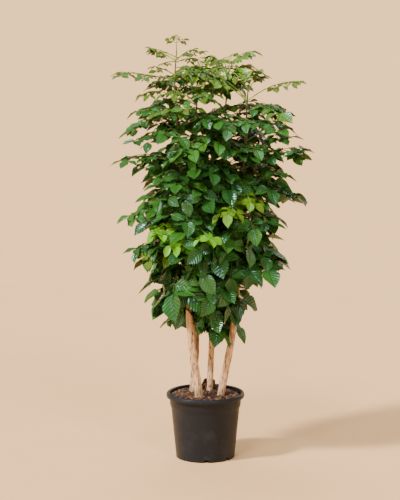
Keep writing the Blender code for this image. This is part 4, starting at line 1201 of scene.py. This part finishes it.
def clear_of_leaves(points, others, clearance):
    """Whether the points keep clear of the points of each other leaf."""
    low, high = points.min(axis=0) - clearance, points.max(axis=0) + clearance
    for other in others:
        if (other.min(axis=0) > high).any() or (other.max(axis=0) < low).any():
            continue
        gaps = np.linalg.norm(points[:, None] - other[None], axis=2)
        if gaps.min() < clearance:
            return False
    return True


def first_clear(offers, taken, clearance):
    """A list of the first leaf on offer that clears the stems and the leaves taken, which it then joins."""
    for leaf in offers:
        points = skeleton_points(leaf)
        if clear_of_stems(points, leaf.stem, clearance) and clear_of_leaves(points, taken, clearance):
            taken.append(points)
            return [leaf]
    return []


def reach_at(height, azimuth):
    """How far the crown reaches from the pot's axis that way: an ellipse of its side and depth reach."""
    side = CROWN_RIGHT if math.cos(azimuth) > 0 else CROWN_LEFT
    wide = np.interp(height, CROWN_HEIGHTS, side)
    deep = np.interp(height, CROWN_HEIGHTS, CROWN_DEPTH)
    return 1 / math.hypot(math.cos(azimuth) / wide, math.sin(azimuth) / deep)


def root_of(stem, height, azimuth):
    """The point just off the stem's bark, or just above its tip, where a leaf's stalk starts."""
    top = stem.axis[-1][2]
    if height > top:
        place = stem_line(stem, top)
        return np.array([place[0], place[1], top + GAP])
    out = np.array([math.cos(azimuth), math.sin(azimuth)])
    place = stem_line(stem, height) + out * (float(stem_radius(stem, height)) + ROOT_GAP)
    return np.array([place[0], place[1], height])


def leaf_towards(height, towards, reach_share, draws, seed):
    """A leaf from the nearest stem that leaves it long enough, out to a share of the crown's reach."""
    rise = math.radians(np.interp(height, ARCH_HEIGHTS, ARCH_RISE) + RISE_DRAW * draws[1])
    droop = math.radians(np.interp(height, ARCH_HEIGHTS, ARCH_DROOP) + DROOP_DRAW * draws[2])
    leaflet = float(np.interp(height, LEAFLET_HEIGHTS, LEAFLET_LENGTHS)) * (1 + LEAFLET_DRAW * draws[3])
    tilt = rise - droop * FINE**ARCH_POWER
    level, lift = float(np.cos(tilt).mean()), float(np.sin(tilt).mean())
    reach = reach_at(height, towards) * reach_share * (1 + REACH_DRAW * draws[4])
    end = reach - leaflet * TIP_SHARE * max(math.cos(rise - droop), LEAST_LEVEL)
    end = end * np.array([math.cos(towards), math.sin(towards)])
    offers = []
    for stem in STEMS:
        top = stem.axis[-1][2] - ROOT_BELOW_TIP
        length = float(np.linalg.norm(end - stem_line(stem, height))) / level
        root = min(height - lift * length, top)
        away = end - stem_line(stem, root)
        length = float(np.linalg.norm(away)) / level
        cost = max(SHORTEST - length, 0) * SHORT_COST + length
        offers.append((cost, length, root, math.atan2(away[1], away[0]), stem))
    _, length, root, azimuth, stem = min(offers, key=lambda offer: offer[0])
    length = float(np.clip(length, SHORTEST, LONGEST))
    leaflet = min(leaflet, length * LEAFLET_LIMIT)
    pairs = int(np.clip(round(PAIRS_BY_RULE * length / leaflet), 1, MOST_PAIRS))
    kind = "upper" if height > UPPER_FROM + UPPER_DRAW * draws[5] else "mature"
    bend, roll = math.radians(BEND_DRAW * draws[6]), math.radians(LEAF_ROLL_DRAW * draws[3])
    base = root_of(stem, root, azimuth)
    return Leaf("", stem, base, azimuth, rise, droop, bend, roll, length, leaflet, pairs, kind, seed)


def leaf_by_rule(number, draws):
    """A leaf of the spiral that the solids follow."""
    share = (number + 0.5) / CROWN_LEAVES
    height = float(np.interp(share, SPIRAL_SHARES, SPIRAL_HEIGHTS)) + HEIGHT_DRAW * draws[7]
    towards = number * SPIRAL_TURN + math.radians(JITTER_DEGREES * draws[0])
    return leaf_towards(height, towards, SPIRAL_REACH[number % len(SPIRAL_REACH)], draws, RULE_SEED + number)


def leaf_by_hand(figures, seed, draws):
    """A leaf with its own figures, turned a little where that clears its neighbours."""
    stem_name, height, azimuth, rise, droop, length, leaflet, kind = figures
    stem = next(s for s in STEMS if s.name == stem_name)
    if height < stem.axis[-1][2]:
        height += HAND_HEIGHT_DRAW * draws[0]
    azimuth, rise, droop = (math.radians(angle) for angle in (azimuth, rise, droop))
    azimuth += math.radians(HAND_TURN_DRAW) * draws[1]
    pairs = int(np.clip(round(PAIRS_BY_HAND * length / leaflet), 1, MOST_PAIRS))
    bend, roll = math.radians(HAND_BEND_DRAW) * draws[2], math.radians(HAND_ROLL_DRAW) * draws[3]
    base = root_of(stem, height, azimuth)
    return Leaf("", stem, base, azimuth, rise, droop, bend, roll, length, leaflet, pairs, kind, seed)


def leaf_of_solids(number, attempt):
    """One try at a leaf of the solids: the accents come first, then the spiral."""
    draws = seeded([CROWN_SEED, number, attempt], 8)
    if number < len(ACCENTS):
        return leaf_by_hand(ACCENTS[number], number, draws)
    return leaf_by_rule(number - len(ACCENTS), draws)


def leaf_of_sprig(number, attempt):
    """One try at a sprig."""
    seed = SPRIG_SEED + number
    return leaf_by_hand(SPRIGS[number], seed, seeded([CROWN_SEED, seed, attempt], 8))


def leaf_of_band(band, number, attempt):
    """One try at a leaf of a band: spaced round the crown by the golden angle from a seeded start."""
    low, high, count, seed = band
    draws = seeded([seed, number, attempt], 10)
    start = np.random.default_rng(seed).uniform(0, 2 * math.pi)
    height = low + (high - low) * (number + 0.5 + BAND_HEIGHT_DRAW * draws[7]) / count
    towards = start + number * SPIRAL_TURN + BAND_JITTER * draws[0]
    share = BAND_REACH[0] + (BAND_REACH[1] - BAND_REACH[0]) * (draws[8] + 1) / 2
    return leaf_towards(height, towards, share, draws, BAND_SEED_STEP * seed + number)


def plan_leaves():
    """Every leaf of the solids, named as they are, and the points along its stalks."""
    planned, taken = [], []
    for number in range(len(ACCENTS) + CROWN_LEAVES):
        planned += first_clear((leaf_of_solids(number, k) for k in range(TRIES)), taken, CLEARANCE)
    counts = {stem.name: 0 for stem in STEMS}
    named = []
    for leaf in planned:
        counts[leaf.stem.name] += 1
        named.append(leaf._replace(name=f"leaf_{leaf.stem.name}_{counts[leaf.stem.name]:02d}"))
    return named, taken


def plan_filling(taken):
    """The leaves that only the finished crown has: sprigs with their own figures, then each band."""
    made = []
    for number in range(len(SPRIGS)):
        made += first_clear((leaf_of_sprig(number, k) for k in range(TRIES)), taken, FILLING_CLEARANCE)
    for band in BANDS:
        for number in range(band[2]):
            offers = (leaf_of_band(band, number, k) for k in range(BAND_TRIES))
            made += first_clear(offers, taken, FILLING_CLEARANCE)
    return made


def blade_pattern():
    """One leaflet's points as (along, across, face), and its faces: an upper and a lower grid.

    face is 1 above, -1 below and 0 on the outline, which both share.
    """
    rows, columns = len(BLADE_ROWS), len(BLADE_COLUMNS)
    places = [(u, v, 0 if abs(v) == 1 else 1) for u in BLADE_ROWS for v in BLADE_COLUMNS]
    above = np.arange(rows * columns).reshape(rows, columns)
    tip = len(places)
    places.append((1.0, 0.0, 0))
    below = above.copy()
    for i, u in enumerate(BLADE_ROWS):
        for j, v in enumerate(BLADE_COLUMNS[1:-1], start=1):
            below[i, j] = len(places)
            places.append((u, v, -1))
    faces = []
    for i in range(rows - 1):
        for j in range(columns - 1):
            faces.append((above[i, j], above[i, j + 1], above[i + 1, j + 1], above[i + 1, j]))
            faces.append((below[i, j], below[i + 1, j], below[i + 1, j + 1], below[i, j + 1]))
    for j in range(columns - 1):
        faces.append((above[-1, j], above[-1, j + 1], tip))
        faces.append((tip, below[-1, j + 1], below[-1, j]))
    faces.append((*below[0], *above[0, 1:-1][::-1]))
    counts = np.array([len(f) for f in faces])
    return np.array(places), np.concatenate([np.array(f) for f in faces]), counts


BLADE = blade_pattern()


def lifted(item, draws):
    """The leaflet held up to the light: its heading's slope is cut to a share that falls with height.

    At the crown's sides the share is smaller still. Two draws then change its slope and roll it. High up it
    is also smaller than the solid's.
    """
    ahead, height = item.heading, item.place[2]
    flat = math.hypot(ahead[0], ahead[1])
    sideways = abs(item.place[0]) / math.hypot(item.place[0], item.place[1])
    share = float(np.interp(height, LIFT_HEIGHTS, LIFT_SHARES)) * (1 - SIDE_LIFT * sideways**2)
    slope = math.atan2(ahead[2], flat)
    slope = slope * (share if slope < 0 else RISE_KEPT) + LIFT_DRAW * draws[0]
    slope -= float(np.interp(height, DROP_HEIGHTS, (0, DROP_MOST)))
    level = np.array([ahead[0], ahead[1], 0]) / max(flat, 1e-6)
    heading = level * math.cos(slope) + np.array([0, 0, math.sin(slope)])
    flatter = np.cross(heading, np.array([0, 0, 1.0]))
    flatter /= max(np.linalg.norm(flatter), 1e-6)
    side = unit(np.cross(heading, item.normal)) + flatter * (1 - share)
    side = unit(side - heading * (side @ heading))
    normal = turned_about(heading, np.cross(side, heading), ROLL_DRAW * draws[1])
    fine = float(np.interp(height, FINE_HEIGHTS, FINE_SHARES))
    return item._replace(heading=heading, normal=normal, length=item.length * fine)


def dressed_leaflets(leaf):
    """Every leaflet of the finished leaf."""
    items = leaflets_of(leaf) + inner_leaflets(leaf)
    draws = seeded([leaf.seed, LIFT_SEED], (len(items), 2))
    return [lifted(item, drawn) for item, drawn in zip(items, draws)]


def blades_part(items, ages, seed):
    """All of a leaf's leaflets at once.

    With u along and v across, a leaflet's point lies L u ahead, L w(u) v to the side, and above its plane by
    L (cup |v| w(u) - sag u^2 + wave sin(k u + phase) v^2), turned about its length by twist u.
    """
    places, corners, counts = BLADE
    u, v, face = places.T
    rng = np.random.default_rng(seed)
    m, n = len(items), len(u)
    origin, heading, normal, size = (np.array(values)[:, None] for values in zip(*items))
    side = np.cross(heading, normal)
    slim = np.interp(origin[:, 0, 2], SLIM_HEIGHTS, SLIM_SHARES)[:, None]
    width = np.interp(u, BLADE_SHARES, BLADE_WIDTHS) * v * rng.uniform(*WIDTH_DRAW, (m, 1)) * slim
    cup = rng.uniform(*CUP_DRAW, (m, 1))
    sag = rng.uniform(*SAG_DRAW, (m, 1))
    twist = rng.uniform(*TWIST_DRAW, (m, 1)) * u
    waves = rng.uniform(*WAVE_DRAW, (m, 1))
    phase = rng.uniform(*PHASE_DRAW, (m, 1))
    wave = WAVE_HEIGHT * np.sin(u * waves + phase + WAVE_LEAN * v) * v**2
    lift = cup * np.abs(width) - sag * u**2 + wave * np.sin(math.pi * u)
    across = width * np.cos(twist) - lift * np.sin(twist)
    above = width * np.sin(twist) + lift * np.cos(twist)
    half = BLADE_HALF * face * np.ones((m, 1))
    points = (
        origin + heading * (size * u)[..., None] + side * (size * across)[..., None]
        + normal * (size * above + half)[..., None]
    )
    maps = {
        "blade": np.stack([np.broadcast_to(u, (m, n)), width + 0.5], axis=-1),
        "tone": np.repeat(rng.uniform(0, 1, m), n),
        "age": np.repeat(ages, n),
        "under": np.tile(face < 0, m).astype(float),
    }
    return Part(points.reshape(-1, 3), *repeated(corners, counts, n, m), 0, maps)


def tubes_part(paths, radii, sides, age):
    """Round stalks, one along each path: rings across the path's heading, closed at both ends."""
    m, n = paths.shape[:2]
    ahead = unit(np.gradient(paths, axis=1))
    level = np.cross(ahead, np.array([0.0, 0.0, 1.0]))
    long = np.linalg.norm(level, axis=2, keepdims=True)
    level = np.where(long > 0.05, level / np.maximum(long, 1e-9), np.array([1.0, 0.0, 0.0]))
    up = np.cross(level, ahead)
    turns = circle(sides)
    ring = np.cos(turns)[:, None] * level[:, :, None] + np.sin(turns)[:, None] * up[:, :, None]
    points = (paths[:, :, None] + ring * radii[:, None, None]).reshape(-1, 3)
    return Part(points, *capped_faces(n, sides, m), 1, {"age": np.full(len(points), age)})


def ages_at(leaf, heights, rng):
    """How young the colour is at each height, from 0 when old to 1 on new shoots, with seeded draws."""
    drawn = AGE_DRAW[0] * rng.uniform(-1, 1) + AGE_DRAW[1] * rng.uniform(-1, 1, len(heights))
    if leaf.kind == "new":
        shoot = float(np.interp(leaf.base[2], SHOOT_HEIGHTS, SHOOT_SHARES))
        return np.clip(shoot + drawn / 3, 0, 1)
    return np.clip(np.interp(heights, AGE_HEIGHTS, AGE_SHARES) + drawn, 0, 1)


def leaf_parts(leaf):
    """A finished leaf: its leaflets, its midrib and its side stalks."""
    items = dressed_leaflets(leaf)
    ages = ages_at(leaf, [item.place[2] for item in items], np.random.default_rng([leaf.seed, AGE_SEED]))
    age = float(ages.mean())
    midrib = midrib_frame(leaf, MIDRIB_SHARES)[0][None]
    stalks = np.array([
        pinna_frame(leaf, number, hand, SIDE_STALK_SHARES)[0]
        for number in range(leaf.pairs) for hand in (-1, 1)])
    taper = np.interp(MIDRIB_SHARES, MIDRIB_PLACES, MIDRIB_RADII)
    slim = np.linspace(*SIDE_STALK_RADII, len(SIDE_STALK_SHARES))
    return [
        blades_part(items, ages, [leaf.seed, BLADE_SEED]),
        tubes_part(midrib, taper, MIDRIB_SIDES, age),
        tubes_part(stalks, slim, SIDE_STALK_SIDES, age),
    ]


class PLANT_OT_pot(bpy.types.Operator):
    """Moulds the nursery pot with its rolled lip and drain notches"""
    bl_idname = "plant.pot"
    bl_label = "Nursery pot"

    def execute(self, context):
        profile = rounded(pot_profile(), CORNER_ROUND, CORNER_STEPS)
        wall = skin_part(turned_rings(profile[1:-1], POT_SIDES), profile[0, 1], profile[-1, 1])
        plastic = plastic_material(context.scene.pot_look)
        obj = piece("nursery_pot", [wall], [plastic], ["pot"], POT_SHARP_DEGREES)
        mesh = bpy.data.meshes.new("notches")
        fill_mesh(mesh, *notch_cutters())
        cutter = bpy.data.objects.new("notches", mesh)
        context.scene.collection.objects.link(cutter)
        cut(obj, cutter)
        obj.data.set_sharp_from_angle(angle=math.radians(POT_SHARP_DEGREES))
        return {"FINISHED"}


class PLANT_OT_soil(bpy.types.Operator):
    """Fills the pot with potting mix and strews bark chips over it"""
    bl_idname = "plant.soil"
    bl_label = "Soil and bark chips"

    def execute(self, context):
        look = context.scene.soil_look
        piece("potting_mix", [soil_part()], [humus_material(look)], ["soil"])
        piece("bark_chips", [chips_part(look)], [chip_material(look)], (), CHIP_SHARP_DEGREES)
        return {"FINISHED"}


class PLANT_OT_stems(bpy.types.Operator):
    """Grows the bark of the four woody stems"""
    bl_idname = "plant.stems"
    bl_label = "Woody stems"

    def execute(self, context):
        look = context.scene.stem_look
        bark = bark_material(look)
        for stem in STEMS:
            piece("bark_" + stem.name, [bark_part(stem, look)], [bark], ["stem_" + stem.name])
        return {"FINISHED"}


class PLANT_OT_leaves(bpy.types.Operator):
    """Sets the compound leaves on the stems"""
    bl_idname = "plant.leaves"
    bl_label = "Compound leaves"

    def execute(self, context):
        look = context.scene.leaf_look
        materials = [blade_material(look), stalk_material(look)]
        planned, taken = plan_leaves()
        for leaf in planned:
            piece("fine_" + leaf.name, leaf_parts(leaf), materials, [leaf.name])
        filling = plan_filling(taken)
        for stem in STEMS:
            for kind in ("mature", "upper", "new"):
                leaves = [leaf for leaf in filling if leaf.stem is stem and leaf.kind == kind]
                if leaves:
                    parts = [part for leaf in leaves for part in leaf_parts(leaf)]
                    piece(f"filling_{kind}_{stem.name}", parts, materials)
        return {"FINISHED"}


class PLANT_OT_stage(bpy.types.Operator):
    """Lays the floor and sets the lights and the camera"""
    bl_idname = "plant.stage"
    bl_label = "Stage"

    def execute(self, context):
        look = context.scene.stage_look
        make_floor(look)
        make_surroundings(look)
        for name, azimuth, elevation, share, spread, colour in LAMPS:
            soft_sun(name, azimuth, elevation, share * look.key_strength, spread, colour)
        make_camera()
        return {"FINISHED"}


def make_floor(look):
    """A plain square floor, large enough to fill every view from above."""
    half = FLOOR_SIZE / 2
    corners = [(-half, -half, 0), (half, -half, 0), (half, half, 0), (-half, half, 0)]
    mesh = bpy.data.meshes.new("floor")
    mesh.from_pydata(corners, [], [(0, 1, 2, 3)])
    mesh.materials.append(floor_material(look))
    floor = bpy.data.objects.new("floor", mesh)
    bpy.context.scene.collection.objects.link(floor)


def make_surroundings(look):
    """Even light from all round, and low down the brighter backdrop beyond the floor's far edge."""
    world = bpy.data.worlds.new("soft_surroundings")
    world.use_nodes = True
    tree = world.node_tree
    tree.nodes.clear()
    direction = node(tree, "TexCoord").outputs["Generated"]
    backdrop = node(tree, "MapRange", {
        "Value": height_in(tree, direction), 1: BACKDROP_RISE[0], 2: BACKDROP_RISE[1], 3: 1.0, 4: 0.0,
    }, interpolation_type="SMOOTHSTEP")
    seen = tuple(BACKDROP_LIGHT * c for c in look.floor)
    dim = tuple(look.sky_strength * c for c in look.sky)
    sky = node(tree, "Background", {"Color": mixed(tree, backdrop.outputs[0], rgba(dim), rgba(seen))})
    node(tree, "OutputWorld", {"Surface": sky.outputs[0]})
    bpy.context.scene.world = world


def soft_sun(name, azimuth, elevation, strength, spread, colour):
    """Light from far off, as from a wide softbox: azimuth from +X, elevation and spread in degrees."""
    lamp = bpy.data.lights.new(name, "SUN")
    lamp.energy = strength
    lamp.angle = math.radians(spread)
    lamp.color = colour
    obj = bpy.data.objects.new(name, lamp)
    obj.rotation_euler = (math.radians(90 - elevation), 0, math.radians(azimuth + 90))
    bpy.context.scene.collection.objects.link(obj)


def make_camera():
    """The camera of the photo: a long lens from in front, a little above the crown, tilted down."""
    camera = bpy.data.objects.new("camera", bpy.data.cameras.new("camera"))
    camera.location = (CAMERA_SIDE, -CAMERA_DISTANCE, CAMERA_HEIGHT)
    camera.rotation_euler = (math.radians(90 - CAMERA_PITCH), 0, 0)
    camera.data.sensor_width = SENSOR_MM
    camera.data.sensor_fit = "HORIZONTAL"
    camera.data.lens = CAMERA_FOCAL_PIXELS / IMAGE_WIDTH * SENSOR_MM
    camera.data.clip_end = CAMERA_REACH
    bpy.context.scene.collection.objects.link(camera)
    bpy.context.scene.camera = camera


class PLANT_PT_panel(bpy.types.Panel):
    """Lists the steps that dress the plant"""
    bl_idname = "PLANT_PT_panel"
    bl_label = "China doll plant"
    bl_space_type = "VIEW_3D"
    bl_region_type = "UI"
    bl_category = "Plant"

    def draw(self, context):
        for name, _, operator in STEPS:
            box = self.layout.box()
            settings = getattr(context.scene, name)
            for key in settings.__annotations__:
                box.prop(settings, key)
            box.operator(operator.bl_idname)


STEPS = (
    ("pot_look", PotLook, PLANT_OT_pot),
    ("soil_look", SoilLook, PLANT_OT_soil),
    ("stem_look", StemLook, PLANT_OT_stems),
    ("leaf_look", LeafLook, PLANT_OT_leaves),
    ("stage_look", StageLook, PLANT_OT_stage),
)


def register():
    """Registers the settings, the operators and the panel."""
    for name, look, operator in STEPS:
        bpy.utils.register_class(look)
        bpy.utils.register_class(operator)
        setattr(bpy.types.Scene, name, bpy.props.PointerProperty(type=look))
    bpy.utils.register_class(PLANT_PT_panel)


def unregister():
    """Takes away what register adds."""
    bpy.utils.unregister_class(PLANT_PT_panel)
    for name, look, operator in STEPS:
        delattr(bpy.types.Scene, name)
        bpy.utils.unregister_class(operator)
        bpy.utils.unregister_class(look)


def main():
    """Dresses the plant."""
    register()
    bpy.ops.plant.pot()
    bpy.ops.plant.soil()
    bpy.ops.plant.stems()
    bpy.ops.plant.leaves()
    bpy.ops.plant.stage()
    bpy.context.view_layer.update()


if __name__ == "__main__":
    main()
